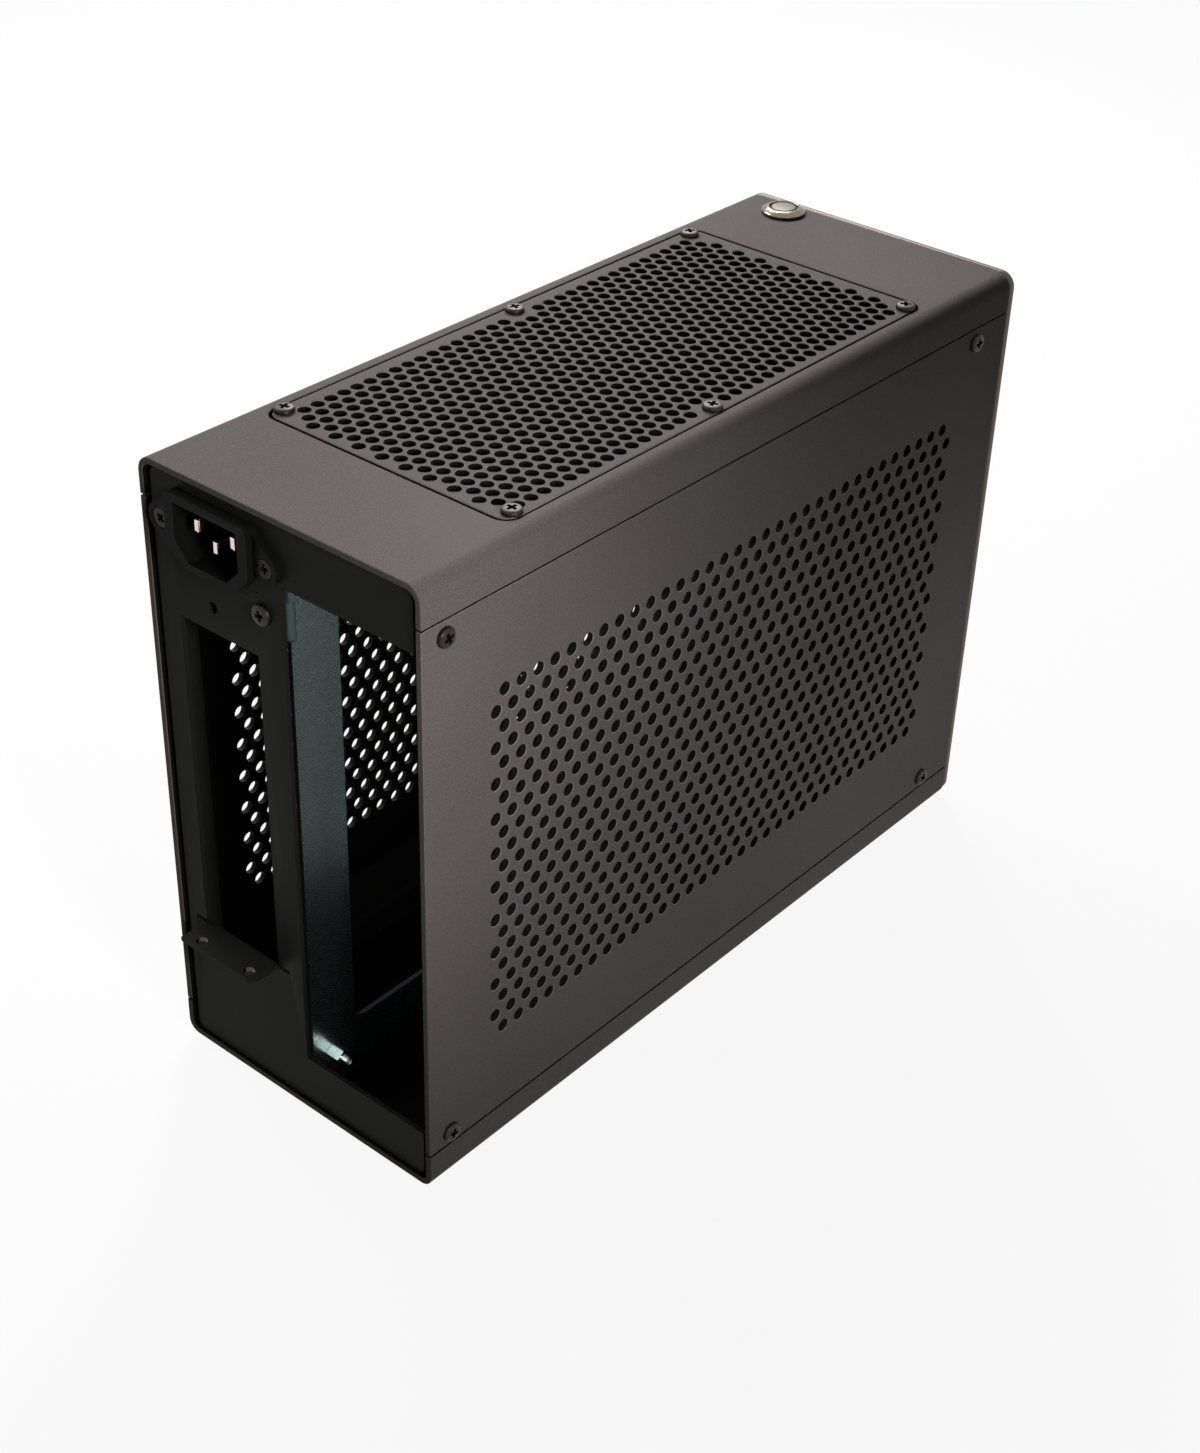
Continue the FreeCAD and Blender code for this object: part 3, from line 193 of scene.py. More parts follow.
# %% Four soft lamps
def lamp(name, place, aim, size, power, spread):
    """A round soft lamp. A small spread is a grid over the lamp, which keeps its light near the aim."""
    made = bpy.data.objects.new(name, bpy.data.lights.new(name, "AREA"))
    made.data.shape = "DISK"
    made.data.size = size
    made.data.energy = power
    made.data.spread = radians(spread)
    made.location = place
    made.rotation_euler = (Vector(place) - Vector(aim)).to_track_quat("Z", "Y").to_euler()
    scene.collection.objects.link(made)
    print(name, "at", place, "power", power)


lamp("top_lamp", (0.8, 0, 0.9), aim=(0, 0, 0.1), size=0.5, power=6.6, spread=180)
lamp("front_lamp", (0.6, -0.7, 0.9), aim=(0, 0, 0.1), size=0.5, power=10.8, spread=180)
lamp("side_lamp", (-0.55, 0.28, 0.36), aim=(-0.05, 0.149, 0.18), size=0.15, power=0.14, spread=36)
lamp("low_lamp", (-0.5, -0.2, 0.06), aim=(-0.05, -0.07, 0), size=0.25, power=0.08, spread=46)

# %% [markdown]
# ## Finishes
# Colours are written as the 0 to 255 numbers that a paint program shows, and turned into the linear values
# that light is counted in. Every finish reads Object coordinates, which are metres here, so a noise scale of
# 2000 makes grains of about half a millimetre. A bare colour would look like plastic toy paint: grain in the
# colour, the roughness and the bump is what makes it a coat.

# %% Helpers for finishes
def paint(*levels):
    """A linear colour from three levels of 0 to 255."""
    return tuple((n / 255 / 12.92 if n < 10.3 else ((n / 255 + 0.055) / 1.055) ** 2.4) for n in levels) + (1,)


def new_finish(name):
    """An empty material and the wire of its Object coordinates."""
    made = bpy.data.materials.new(name)
    made.use_nodes = True
    made.node_tree.nodes.clear()
    return made, Wire(made.node_tree).node("ShaderNodeTexCoord", out="Object")


def grain(place, scale, detail=2.0):
    return place.node("ShaderNodeTexNoise", sockets={"Vector": place, "Scale": scale, "Detail": detail})


def between(share, low, high):
    """A colour between two, by a share of 0 to 1."""
    return share.node("ShaderNodeMix", {"data_type": "RGBA"}, {0: share, 6: low, 7: high}, out=2)


def bumped(height, strength, depth):
    return height.node("ShaderNodeBump", sockets={"Strength": strength, "Distance": depth, "Height": height})


def surface(place, sockets):
    """Ends a finish in one Principled shader."""
    shader = place.node("ShaderNodeBsdfPrincipled", sockets=sockets)
    shader.node("ShaderNodeOutputMaterial", sockets={"Surface": shader})


print("half grey is", round(paint(128, 128, 128)[0], 3))


# %% Baked powder coats
SPECKLE, PEEL, DRIFT = 2400.0, 700.0, 11.0
PEEL_DEPTH = 0.08 * MM


def powder_coat(name, dark, light, rough, peel, gloss):
    """A baked coat: fine speckle, a slow change of tone and a slight orange peel."""
    made, place = new_finish(name)
    fine = grain(place, SPECKLE)
    slow = grain(place, DRIFT)
    tone = 0.5 + 1.5 * (fine - 0.5) + 0.7 * (slow - 0.5)
    surface(place, {"Base Color": between(tone, paint(*dark), paint(*light)), "Specular IOR Level": gloss,
                    "Roughness": rough + 0.25 * (fine - 0.5),
                    "Normal": bumped(fine + grain(place, PEEL), peel, PEEL_DEPTH)})
    print(name, dark, light)
    return made


shell_coat = powder_coat("shell_coat", (86, 81, 79), (118, 112, 109), rough=0.44, peel=0.22, gloss=0.01)
# The next coat is a painted highlight: a lighter coat for the slanting rims of the holes and the plate edges.
rim_painted_highlight = powder_coat("rim_painted_highlight", (118, 112, 108), (154, 147, 143), rough=0.4, peel=0.2, gloss=0.05)
# The next coat is painted shade: near black for the case's inner faces, seam edges and screw recesses.
inner_painted_shade = powder_coat("inner_painted_shade", (11, 11, 11), (20, 20, 19), rough=0.6, peel=0.2, gloss=0.03)
chassis_coat = powder_coat("chassis_coat", (24, 24, 23), (38, 38, 36), rough=0.5, peel=0.2, gloss=0.04)


# %% Metals
GRAIN_DEPTH = 0.05 * MM


def metal(name, dark, light, rough, stretch=(1, 1, 1), scale=900.0, uneven=0.3):
    """Bare or plated metal. The stretch draws its grain out along the way that it was rolled or brushed."""
    made, place = new_finish(name)
    along = place.node("ShaderNodeMapping", sockets={"Vector": place, "Scale": stretch})
    lines = grain(along, scale, 3.0)
    surface(place, {"Base Color": between(lines, paint(*dark), paint(*light)), "Metallic": 1.0,
                    "Roughness": rough + uneven * (lines - 0.5),
                    "Normal": bumped(lines, uneven / 4, GRAIN_DEPTH)})
    print(name, dark, light)
    return made


dark_screw = metal("dark_screw", (36, 33, 31), (66, 62, 57), rough=0.42)
black_screw = metal("black_screw", (22, 20, 18), (42, 39, 36), rough=0.26)
standoff_metal = metal("standoff_brass", (204, 216, 213), (238, 245, 243), rough=0.2, stretch=(4, 1, 1))
contact_metal = metal("contact_metal", (220, 198, 188), (245, 229, 221), rough=0.2, stretch=(1, 0.1, 1))
spine_metal = metal("spine_metal", (168, 188, 186), (190, 210, 208), rough=0.27, stretch=(1, 1, 0.3),
                    scale=8000.0, uneven=0.06)
# A darker, duller metal for the spine's cut edges, which on its rear fold is painted shade.
dull_edge_and_fold_shade = metal("spine_dull_edge_and_fold_shade", (58, 70, 72), (70, 83, 84), rough=0.6, scale=3000.0, uneven=0.1)
bezel_metal = metal("button_nickel", (118, 108, 94), (140, 130, 115), rough=0.17, scale=5000.0)
plunger_metal = metal("plunger_satin", (70, 67, 58), (84, 81, 71), rough=0.45, scale=5000.0)
spring_metal = metal("spring_steel", (128, 128, 126), (176, 176, 174), rough=0.3)
cut_edge = metal("cut_edge", (66, 60, 55), (92, 85, 78), rough=0.35, stretch=(1, 1, 0.05))
front_coat = metal("front_coat", (58, 55, 52), (92, 88, 84), rough=0.4, stretch=(0.03, 1, 1), scale=2500.0)


# %% Moulded plastics and rubber
CLOUDS = 40.0
SKIN_DEPTH = 0.1 * MM


def moulded(name, dark, light, rough, texture, gloss):
    """A moulded skin with a fine spark-eroded texture."""
    made, place = new_finish(name)
    fine = grain(place, texture, 1.0)
    slow = grain(place, CLOUDS)
    surface(place, {"Base Color": between(slow, paint(*dark), paint(*light)), "Specular IOR Level": gloss,
                    "Roughness": rough + 0.3 * (fine - 0.5), "Normal": bumped(fine, 0.25, SKIN_DEPTH)})
    print(name, dark, light)
    return made


inlet_plastic = moulded("inlet_plastic", (15, 15, 14), (23, 23, 22), rough=0.36, texture=1800.0, gloss=0.03)
button_plastic = moulded("button_plastic", (20, 20, 20), (34, 34, 34), rough=0.45, texture=2500.0, gloss=0.2)
light_ring = moulded("light_ring", (42, 38, 33), (58, 53, 46), rough=0.4, texture=2500.0, gloss=0.08)
foot_rubber = moulded("foot_rubber", (15, 15, 15), (27, 27, 27), rough=0.75, texture=1200.0, gloss=0.1)

# %% [markdown]
# ## From mesh to piece
# A finished mesh becomes an object, takes its finish, and rides on the CAD body that carries it. It also
# names the solids that it stands for, which are then hidden. Smooth shading with sharp edges by angle keeps
# round walls round and flat faces flat. The angle is small, because a large flat face that is smoothed into
# its eased edge would show a false slope of light.

# %% Make a piece
CREASE = 20


def piece(name, mesh_tool, finishes, stands_for, body="case"):
    """Turns a bmesh into a piece of the case that stands for one or more solids."""
    mesh = bpy.data.meshes.new(name)
    mesh_tool.to_mesh(mesh)
    mesh_tool.free()
    for finish in finishes:
        mesh.materials.append(finish)
    mesh.polygons.foreach_set("use_smooth", [True] * len(mesh.polygons))
    mesh.set_sharp_from_angle(angle=radians(CREASE))
    made = bpy.data.objects.new(name, mesh)
    scene.collection.objects.link(made)
    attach(made, body)
    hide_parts(*stands_for)
    print(name, len(mesh.polygons), "faces")
    return made


# %% [markdown]
# ## Eased edges
# No real sheet has a knife edge: a laser-cut plate is tumbled and coated, which leaves a small radius that
# catches the light as a thin bright line. The solids have sharp edges, so a copy of each mesh is merged, its
# flat triangles are dissolved, and every sharp edge gets a narrow bevel. A Bevel modifier would do the same,
# but the operator leaves a plain mesh that the next cells can pick faces from.

# %% Ease a solid's edges
WELD = 0.002 * MM
FLAT, SHARP = radians(0.5), radians(30)


def merged(node):
    """A copy of a node's mesh with its corners joined and its flat triangles dissolved."""
    made = bmesh.new()
    made.from_mesh(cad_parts[node].data)
    bmesh.ops.remove_doubles(made, verts=made.verts[:], dist=WELD)
    bmesh.ops.dissolve_limit(made, angle_limit=FLAT, verts=made.verts[:], edges=made.edges[:])
    return made


def ease(made, width):
    """Gives a narrow round to every sharp edge."""
    edges = [edge for edge in made.edges if edge.is_manifold and edge.calc_face_angle() > SHARP]
    bmesh.ops.bevel(made, geom=edges, offset=width, offset_type="OFFSET", affect="EDGES", segments=2,
                    profile=0.5, material=-1, clamp_overlap=True)
    return made


def eased(node, width):
    return ease(merged(node), width)


# %% [markdown]
# ## Painted shade inside
# Seen through its openings the case is almost black, because little light reaches inside. That darkness is
# painted: the inner faces, the walls of the holes and the cut edges in the seams take a second, darker
# finish, which is painted shade, and that is why a seam reads as a black line. These faces are picked by
# where they lie and which way they look. Modelling a deeper gap for every seam would do it too, but it would
# change the parts' size.

# %% Pick the faces for painted shade: inner faces, hole walls and seam edges
MIDDLE_HEIGHT = 102 * MM
INNER_X, INNER_Z = 50.3 * MM, 98.3 * MM
VENT_HALF = 47 * MM
REAR_EDGE = 129.5 * MM
LOOKS_IN, FACE_ON, EDGE_ON = 0.6, 0.9, 0.3


def paint_inner_shade(made):
    """Paints shade, as the second finish, on a folded sheet's inner faces and on its edges along the seams.
    """
    for face in made.faces:
        x, _, z = face.calc_center_median()
        z -= MIDDLE_HEIGHT
        looks_in = face.normal.x * x < -LOOKS_IN * abs(x) or face.normal.z * z < -LOOKS_IN * abs(z)
        inner = looks_in and abs(x) < INNER_X and abs(z) < INNER_Z
        flange_seam_shade = abs(face.normal.z) > FACE_ON and abs(x) > INNER_X and abs(z) < INNER_Z
        vent_seam_shade = abs(face.normal.z) < EDGE_ON and abs(x) < VENT_HALF and z > INNER_Z
        if inner or flange_seam_shade or vent_seam_shade:
            face.material_index = 1
    return made


def paint_wall_shade(made, axis, outward):
    """Finishes of a plate: 0 outer face, 1 inner face in painted shade, 2 hole walls and seam edges in
    painted shade, 3 the slanting rims and edges with a painted highlight.
    """
    for face in made.faces:
        facing = face.normal[axis] * outward
        if EDGE_ON < facing < FACE_ON:
            face.material_index = 3
        elif facing <= EDGE_ON and face.calc_center_median().y < REAR_EDGE:
            face.material_index = 1 if facing < -EDGE_ON else 2
    return made


print("inner faces lie within", INNER_X, "and", INNER_Z)

# %% Folded sheets, plates and small turned parts
EASED = [
    ("top_cover", 0.3, shell_coat, "shell_coat"), ("bottom_tray", 0.3, shell_coat, "shell_coat"),
    ("front_chassis", 0.15, chassis_coat, "chassis_coat"),
    ("upper_rail_board_side", 0.15, chassis_coat, "chassis_coat"),
    ("upper_rail_gpu_side", 0.15, chassis_coat, "chassis_coat"),
    ("lower_rail_board_side", 0.15, chassis_coat, "chassis_coat"),
    ("lower_rail_gpu_side", 0.15, chassis_coat, "chassis_coat"),
    ("inlet_blades", 0.6, contact_metal, "contact_metal"),
    ("inlet_nuts", 0.15, dark_screw, "dark_screw"), ("button_bezel", 0.15, bezel_metal, "button_nickel"),
    ("button_seal", 0.1, foot_rubber, "foot_rubber"), ("button_nut", 0.25, bezel_metal, "button_nickel"),
    ("button_light_ring", 0.08, light_ring, "light_ring"),
    ("button_contact_block", 0.2, button_plastic, "button_plastic"),
    ("button_terminals", 0.12, contact_metal, "contact_metal"),
    ("rubber_feet", 0.4, foot_rubber, "foot_rubber"),
]
for node, width, finish, slot in EASED:
    made = eased(node, width * MM)
    # Shell sheets get painted shade on their inner faces and seam edges.
    if finish is shell_coat:
        paint_inner_shade(made)
    piece(node + "_eased", made, [finish, inner_painted_shade], [node])
piece("button_plunger_eased", eased("button_plunger", 0.15 * MM), [plunger_metal],
      ["button_plunger"], body="plunger")

# %% [markdown]
# ## The bright spine
# The plate between the compartments is bare sheet metal, so it works as a dull mirror. Its lower half
# reflects the dark inside and looks black, and its upper half reflects the light behind the perforated panel.
# The light and dark on its face come from the metal alone. Its cut edges and its rear fold take a darker,
# duller metal, which on the fold is painted shade, and below 155 mm the fold, in the seam behind the rear
# plate, takes the black painted shade.

# %% Ease the spine, dull its cut edges and paint shade on its fold
FOLD_SHADE_TOP = 155 * MM
REARWARD = 0.2
spine = eased("spine", 0.15 * MM)
# The rear fold is painted shade: black below 155 mm, the dull darker metal above, which the cut edges take
# too.
for face in spine.faces:
    if face.normal.y > REARWARD and face.calc_center_median().z < FOLD_SHADE_TOP:
        face.material_index = 2
    elif face.normal.y > REARWARD or abs(face.normal.x) < FACE_ON:
        face.material_index = 1
piece("spine_eased", spine, [spine_metal, dull_edge_and_fold_shade, inner_painted_shade], ["spine"])

# %% [markdown]
# ## Spacers and the moulded inlet
# A hexagonal spacer stops where its thread is tight, so no two show the same flats: each one is turned on its
# own axis. The inlet is a moulding, and a moulding has no sharp corner. The long corners of its hood get a
# wide bevel first, and the rest of its edges are then eased like those of the sheets.

# %% Turn the spacers
SPACERS = [(119.7, 18, -6), (-35.24, 18, 8), (-35.24, 175.48, 23)]
SPACER_REACH = 5 * MM
spacers = eased("board_standoffs", 0.2 * MM)
for y, z, angle in SPACERS:
    axis = Vector((0, y, z)) * MM
    near = [vertex for vertex in spacers.verts if (vertex.co.yz - axis.yz).length < SPACER_REACH]
    bmesh.ops.rotate(spacers, cent=axis, matrix=Matrix.Rotation(radians(angle), 3, "X"), verts=near)
piece("board_standoffs_turned", spacers, [standoff_metal], ["board_standoffs"])

# %% Round the inlet's hood
HOOD_CORNER = 1.6 * MM
ALONG = 0.99
hood = merged("inlet_housing")
long_corners = [edge for edge in hood.edges if edge.is_manifold and edge.calc_face_angle_signed() > SHARP
                and abs((edge.verts[0].co - edge.verts[1].co).normalized().y) > ALONG]
bmesh.ops.bevel(hood, geom=long_corners, offset=HOOD_CORNER, offset_type="OFFSET", affect="EDGES", segments=4,
                profile=0.5, material=-1, clamp_overlap=True)
piece("inlet_housing_eased", ease(hood, 0.3 * MM), [inlet_plastic], ["inlet_housing"])

# %% [markdown]
# ## The rear plate's tapped holes
# A tab is bent out of the rear plate under the card's opening, and the card's bracket is screwed to it. Its
# two holes are tapped after the coat is baked, so their threads are bare. A modelled thread would be finer
# than a grain of the coat here: the faces round each hole take a bare metal instead.

# %% Bare threads in the tab
TAB_HOLES = [Vector((x, 136.5)) * MM for x in (13.64, 33.96)]
BARE_REACH = 2 * MM
rear = eased("rear_panel", 0.15 * MM)
bare = 0
for face in rear.faces:
    spot = face.calc_center_median().xy
    if abs(face.normal.z) < FACE_ON and min((spot - hole).length for hole in TAB_HOLES) < BARE_REACH:
        face.material_index = 1
        bare += 1
piece("rear_panel_eased", rear, [chassis_coat, cut_edge], ["rear_panel"])
print("bare faces", bare)

# %% [markdown]
# ## The front plate's bright chamfer
# The front plate is coated first and then cut at the edge, so a narrow bright line runs round it. Splitting
# the plate in two pieces would show a seam. Instead the slanting faces of the same mesh are picked by their
# normals and given a second finish.

# %% Coat the plate and brighten its chamfer
SLANT = (0.2, 0.98)
plate = eased("front_panel", 0.05 * MM)
for face in plate.faces:
    if SLANT[0] < abs(face.normal.y) < SLANT[1]:
        face.material_index = 1
piece("front_panel_eased", plate, [front_coat, cut_edge], ["front_panel"])

# %% [markdown]
# ## Perforated sheets
# The two side panels and the vent plate are punched with staggered round holes, hundreds in each. A Boolean
# for every hole would be slow and untidy. A flat sheet is drawn as outlines instead: one outer loop and one
# small circle for each hole. Triangle Fill skins the area between the loops, and one extrusion makes the
# thickness and all the hole walls at once.

# %% Draw a sheet with holes
# On a plate the second finish is painted shade on the inner face, the dark chassis coat is painted shade on
# the
# hole walls and seam edges, and the lighter rim coat is a painted highlight on the slanting rims and edges.
PLATE_FINISHES_AND_SHADES = [shell_coat, inner_painted_shade, chassis_coat, rim_painted_highlight]
PLATE_EDGE, DEBURR = 0.25 * MM, 0.2 * MM
SEAM, END_SEAM = 0.25 * MM, 0.55 * MM
HOLE_SIDES, SQUARE_EDGE = 16, radians(60)


def perforated(width, height, thickness, corner, holes, outer):
    """A sheet on the XY plane. Holes are (x, y, radius), and outer is the height of the face that is seen."""
    made = bmesh.new()
    bmesh.ops.create_grid(made, x_segments=1, y_segments=1, size=0.5)
    bmesh.ops.scale(made, vec=(width, height, 1), verts=made.verts[:])
    if corner:
        bmesh.ops.bevel(made, geom=made.verts[:], offset=corner, affect="VERTICES", segments=6, profile=0.5,
                        material=-1)
    bmesh.ops.delete(made, geom=made.faces[:], context="FACES_ONLY")
    outline = made.verts.layers.int.new("outline")
    for vertex in made.verts:
        vertex[outline] = 1
    for x, y, radius in holes:
        bmesh.ops.create_circle(made, cap_ends=False, radius=radius, segments=HOLE_SIDES,
                                matrix=Matrix.Translation((x, y, 0)))
    bmesh.ops.triangle_fill(made, use_beauty=True, use_dissolve=False, edges=made.edges[:])
    raised = bmesh.ops.extrude_face_region(made, geom=made.faces[:])["geom"]
    bmesh.ops.translate(made, vec=(0, 0, thickness),
                        verts=[item for item in raised if isinstance(item, bmesh.types.BMVert)])
    bmesh.ops.recalc_face_normals(made, faces=made.faces[:])
    sharp = [edge for edge in made.edges if edge.is_manifold and edge.calc_face_angle() > SQUARE_EDGE]
    rims = [edge for edge in sharp if not any(vertex[outline] for vertex in edge.verts)
            and all(abs(vertex.co.z - outer) < thickness / 9 for vertex in edge.verts)]
    edges = [edge for edge in sharp if all(vertex[outline] for vertex in edge.verts)]
    bmesh.ops.bevel(made, geom=rims, offset=DEBURR, offset_type="OFFSET", affect="EDGES", segments=1,
                    profile=0.5, material=-1)
    bmesh.ops.bevel(made, geom=edges, offset=PLATE_EDGE, offset_type="OFFSET", affect="EDGES", segments=2,
                    profile=0.5, material=-1)
    return made


# %% Vent plate
low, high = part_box("top_vent_plate")
VENT_SCREWS = [(x, y) for x in (42, -42) for y in (86.1, -91.5)] + [(42, -7.5), (-42, 3.5)]
VENT_ROWS, VENT_COUNT, VENT_STEP, VENT_PITCH = 19, 36, 4.378, 5.067
VENT_START, VENT_CORNER = (38.8, -90.6), 4.5 * MM
VENT_HOLE, SCREW_HOLE = 2.04, 1.7
FIRST_ROW_GAPS, LAST_ROW_GAPS = (0, 16, 17, 35), (0, 18, 19, 35)
vent_holes = []
for row in range(VENT_ROWS):
    gaps = {0: FIRST_ROW_GAPS, VENT_ROWS - 1: LAST_ROW_GAPS}.get(row, ())
    for k in range(VENT_COUNT - row % 2):
        if k not in gaps:
            vent_holes.append((VENT_START[0] - row * VENT_STEP,
                               VENT_START[1] + (k + row % 2 / 2) * VENT_PITCH, VENT_HOLE))
vent_holes += [(x, y, SCREW_HOLE) for x, y in VENT_SCREWS]
middle = (low + high) / 2
vent = perforated(high.x - low.x - 2 * SEAM, high.y - low.y - 2 * END_SEAM, high.z - low.z, VENT_CORNER,
                  [(x * MM - middle.x, y * MM - middle.y, radius * MM) for x, y, radius in vent_holes],
                  high.z - low.z)
bmesh.ops.translate(vent, vec=(middle.x, middle.y, low.z), verts=vent.verts[:])
paint_wall_shade(vent, 2, 1)
piece("top_vent_mesh", vent, PLATE_FINISHES_AND_SHADES, ["top_vent_plate"])

# %% Side panels
SIDE_SCREWS = [(y, z) for y in (121.4, -118.8) for z in (19, 185)]
SIDE_ROWS, SIDE_COUNT, SIDE_STEP, SIDE_PITCH = 21, 32, 5.74, 6.6
SIDE_START, SIDE_HOLE = (99.2, 159.3), 2.02
side_holes = [(SIDE_START[0] + row % 2 * SIDE_PITCH / 2 - k * SIDE_PITCH, SIDE_START[1] - row * SIDE_STEP,
               SIDE_HOLE) for row in range(SIDE_ROWS) for k in range(SIDE_COUNT + row % 2)]
side_holes += [(y, z, SCREW_HOLE) for y, z in SIDE_SCREWS]
STAND_UP = Matrix(((0, 0, 1), (1, 0, 0), (0, 1, 0)))
for node, outward in (("board_side_panel", -1), ("gpu_side_panel", 1)):
    low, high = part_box(node)
    middle = (low + high) / 2
    panel = perforated(high.y - low.y, high.z - low.z - SEAM, high.x - low.x, 0,
                       [(y * MM - middle.y, z * MM - middle.z, radius * MM) for y, z, radius in side_holes],
                       max(outward, 0) * (high.x - low.x))
    bmesh.ops.rotate(panel, cent=(0, 0, 0), matrix=STAND_UP, verts=panel.verts[:])
    bmesh.ops.translate(panel, vec=(low.x, middle.y, middle.z), verts=panel.verts[:])
    paint_wall_shade(panel, 0, outward)
    piece(node.replace("panel", "mesh"), panel, PLATE_FINISHES_AND_SHADES, [node])

# %% [markdown]
# ## Cross-recess screws
# Every panel is held by small pan-head screws with a cross recess. One master is made for each length: a grid
# of nine squares loses its corners and becomes the cross, the crown is filled round it, the cross is pushed
# in, and the crown's rim is drawn down ring by ring into the dome, the seat and the thread. Copies of the
# master are then set into one mesh, each with its own turn, because no two screws stop at the same angle.

# %% Model one screw
SCREW_SIDES, TAPER = 24, 0.5


def cross_screw(rings, span, depth):
    """A screw along +Z. Rings are (radius, height) from the flat crown down to the tip."""
    made = bmesh.new()
    (radius, height), rest = rings[0], rings[1:]
    bmesh.ops.create_grid(made, x_segments=3, y_segments=3, size=span / 2)
    corners = [face for face in made.faces
               if min(abs(face.calc_center_median().x), abs(face.calc_center_median().y)) > span / 6]
    bmesh.ops.delete(made, geom=corners, context="FACES")
    cross = made.faces[:]
    cross_rim = [edge for edge in made.edges if edge.is_boundary]
    ring = bmesh.ops.create_circle(made, cap_ends=False, radius=radius, segments=SCREW_SIDES)["verts"]
    ring_edges = list(dict.fromkeys(edge for vertex in ring for edge in vertex.link_edges))
    bmesh.ops.triangle_fill(made, use_beauty=True, use_dissolve=False, edges=cross_rim + ring_edges)
    sunk = bmesh.ops.extrude_face_region(made, geom=cross)["geom"]
    floor_verts = [item for item in sunk if isinstance(item, bmesh.types.BMVert)]
    bmesh.ops.delete(made, geom=cross, context="FACES")
    bmesh.ops.scale(made, vec=(TAPER, TAPER, 1), verts=floor_verts)
    bmesh.ops.translate(made, vec=(0, 0, -depth), verts=floor_verts)
    # The recess walls and floor take the second finish, which is painted shade.
    for face in made.faces:
        face.material_index = int(face.calc_center_median().z < -depth / 9)
    bmesh.ops.translate(made, vec=(0, 0, height), verts=made.verts[:])
    for next_radius, next_height in rest:
        drawn = bmesh.ops.extrude_edge_only(made, edges=ring_edges)["geom"]
        fresh = [item for item in drawn if isinstance(item, bmesh.types.BMVert)]
        ring_edges = [item for item in drawn if isinstance(item, bmesh.types.BMEdge)
                      and all(vertex in fresh for vertex in item.verts)]
        ratio = next_radius / radius
        bmesh.ops.scale(made, vec=(ratio, ratio, 1), verts=fresh)
        bmesh.ops.translate(made, vec=(0, 0, next_height - height), verts=fresh)
        radius, height = next_radius, next_height
    bmesh.ops.contextual_create(made, geom=ring_edges)
    bmesh.ops.recalc_face_normals(made, faces=made.faces[:])
    mesh = bpy.data.meshes.new("screw_master")
    made.to_mesh(mesh)
    made.free()
    return mesh


def thread(reach, radius=1.5, pitch=0.5, depth=0.25):
    """Rings of a machine thread under a head, as (radius, height) in millimetres."""
    turns = int(reach / pitch) - 1
    ridges = [(radius - (step % 2) * depth, -pitch / 2 * (step + 1)) for step in range(2 * turns)]
    return [(radius, 0)] + ridges + [(radius - depth, -reach)]


def pan_head(width, reach):
    """Rings of a pan-head screw on its seat, in metres."""
    head = [(0.7, 1.55), (0.86, 1.4), (0.95, 1.1), (0.99, 0.7), (1.0, 0.4), (1.0, 0.1), (0.97, 0)]
    rings = [(share * width / 2, height) for share, height in head] + thread(reach)
    return [(radius * MM, height * MM) for radius, height in rings]


# %% Set the screws in their holes
TURN = {"+Z": Matrix.Identity(4), "+Y": Matrix.Rotation(-pi / 2, 4, "X"),
        "+X": Matrix.Rotation(pi / 2, 4, "Y"), "-X": Matrix.Rotation(-pi / 2, 4, "Y")}
FIRST_TWIST, NEXT_TWIST = 14, 37


def screws(name, node, master, places, finish=dark_screw):
    """Copies of one master at (x, y, z, direction) in millimetres, as one piece."""
    made = bmesh.new()
    for count, (x, y, z, along) in enumerate(places):
        before = len(made.verts)
        made.from_mesh(master)
        made.verts.ensure_lookup_table()
        twist = Matrix.Rotation(radians(NEXT_TWIST * count + FIRST_TWIST), 4, "Z")
        spot = Matrix.Translation(Vector((x, y, z)) * MM) @ TURN[along] @ twist
        bmesh.ops.transform(made, matrix=spot, verts=made.verts[before:])
    piece(name, made, [finish, inner_painted_shade], [node])


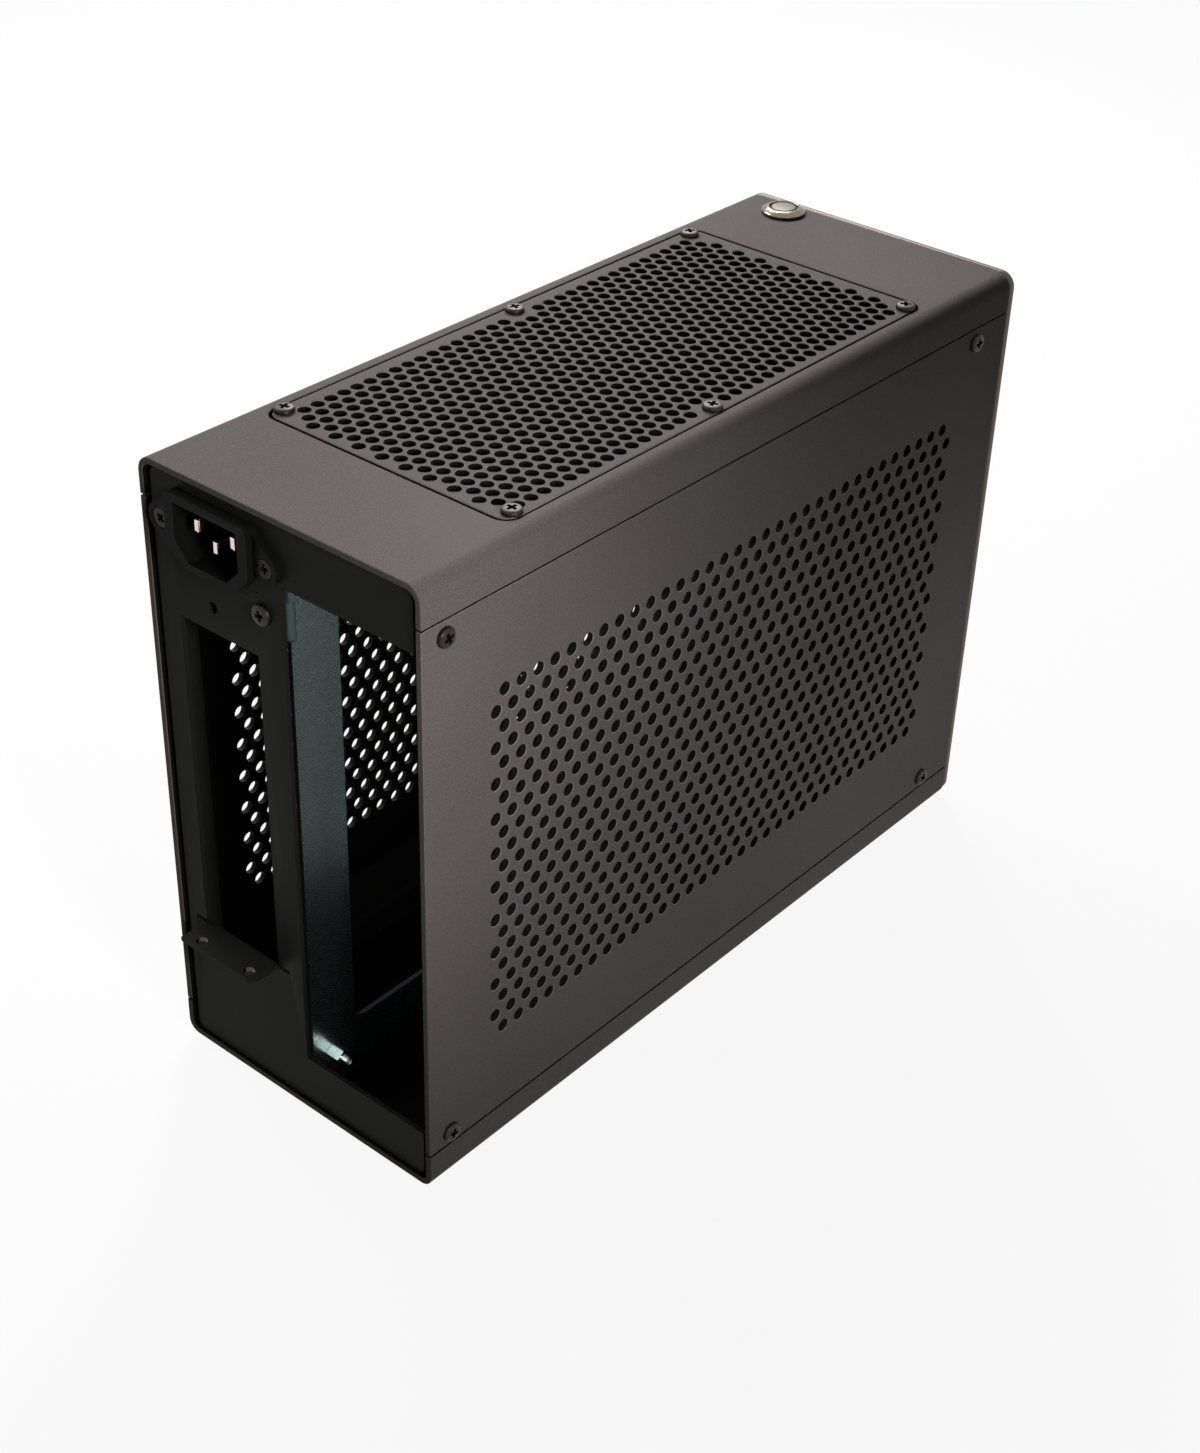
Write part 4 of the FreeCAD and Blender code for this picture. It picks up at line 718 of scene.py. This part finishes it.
TOP_FACE, SIDE_FACE, REAR_FACE = 202, 52, 128.7
CROSS_SPAN, CROSS_DEPTH = 3.3 * MM, 1.25 * MM
panel_screw = cross_screw(pan_head(width=6.0, reach=6.0), CROSS_SPAN, CROSS_DEPTH)
screws("vent_screw_set", "vent_screws", panel_screw, [(x, y, TOP_FACE, "+Z") for x, y in VENT_SCREWS])
screws("side_screw_set", "side_panel_screws", panel_screw,
       [(side * SIDE_FACE, y, z, "+X" if side > 0 else "-X") for side in (1, -1) for y, z in SIDE_SCREWS])
screws("rear_screw_set", "rear_panel_screw",
       cross_screw(pan_head(width=6.6, reach=6.0), CROSS_SPAN, CROSS_DEPTH), [(6.7, REAR_FACE, 170.5, "+Y")])
screws("front_screw_set", "front_panel_screws",
       cross_screw(pan_head(width=6.0, reach=3.6), CROSS_SPAN, CROSS_DEPTH),
       [(x, -134.8, z, "+Y") for x in (30, -30) for z in (34, 170)])
screws("floor_screw_set", "spine_floor_screws",
       cross_screw(pan_head(width=6.0, reach=3.5), CROSS_SPAN, CROSS_DEPTH),
       [(6, y, 5.5, "+Z") for y in (-94.3, -4.8, 84.7)])

# %% [markdown]
# ## The inlet's two black screws
# The mains inlet is held by countersunk screws, so their heads lie flush in its ears. The same master works
# with a cone in place of the dome, and takes a metal that is blackened more deeply than the other screws.

# %% Countersunk screws
CONE = 1.4
SUNK_SPAN, SUNK_DEPTH = 3.0 * MM, 1.2 * MM
SUNK = [(2.75, -0.02), (2.8, -0.1), (1.5, -CONE)]
SUNK += [(radius, height - CONE) for radius, height in thread(reach=4.5)[1:]]
sunk_screw = cross_screw([(radius * MM, height * MM) for radius, height in SUNK], SUNK_SPAN, SUNK_DEPTH)
screws("inlet_screw_set", "inlet_screws", sunk_screw, [(x, 130.7, 186.2, "+Y") for x in (3, 43)], black_screw)

# %% [markdown]
# ## The spring
# The return spring sits between the contact block and the plunger's collar, and its coils close up when the
# button is pressed. Here it is a merged copy of its solid, with a mesh of its own.

# %% The spring
low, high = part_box("button_spring")
spring = piece("button_spring_wound", merged("button_spring"), [spring_metal],
               ["button_spring"])
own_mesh(spring)
print("spring", round((high.z - low.z) / MM, 2), "mm long at rest")
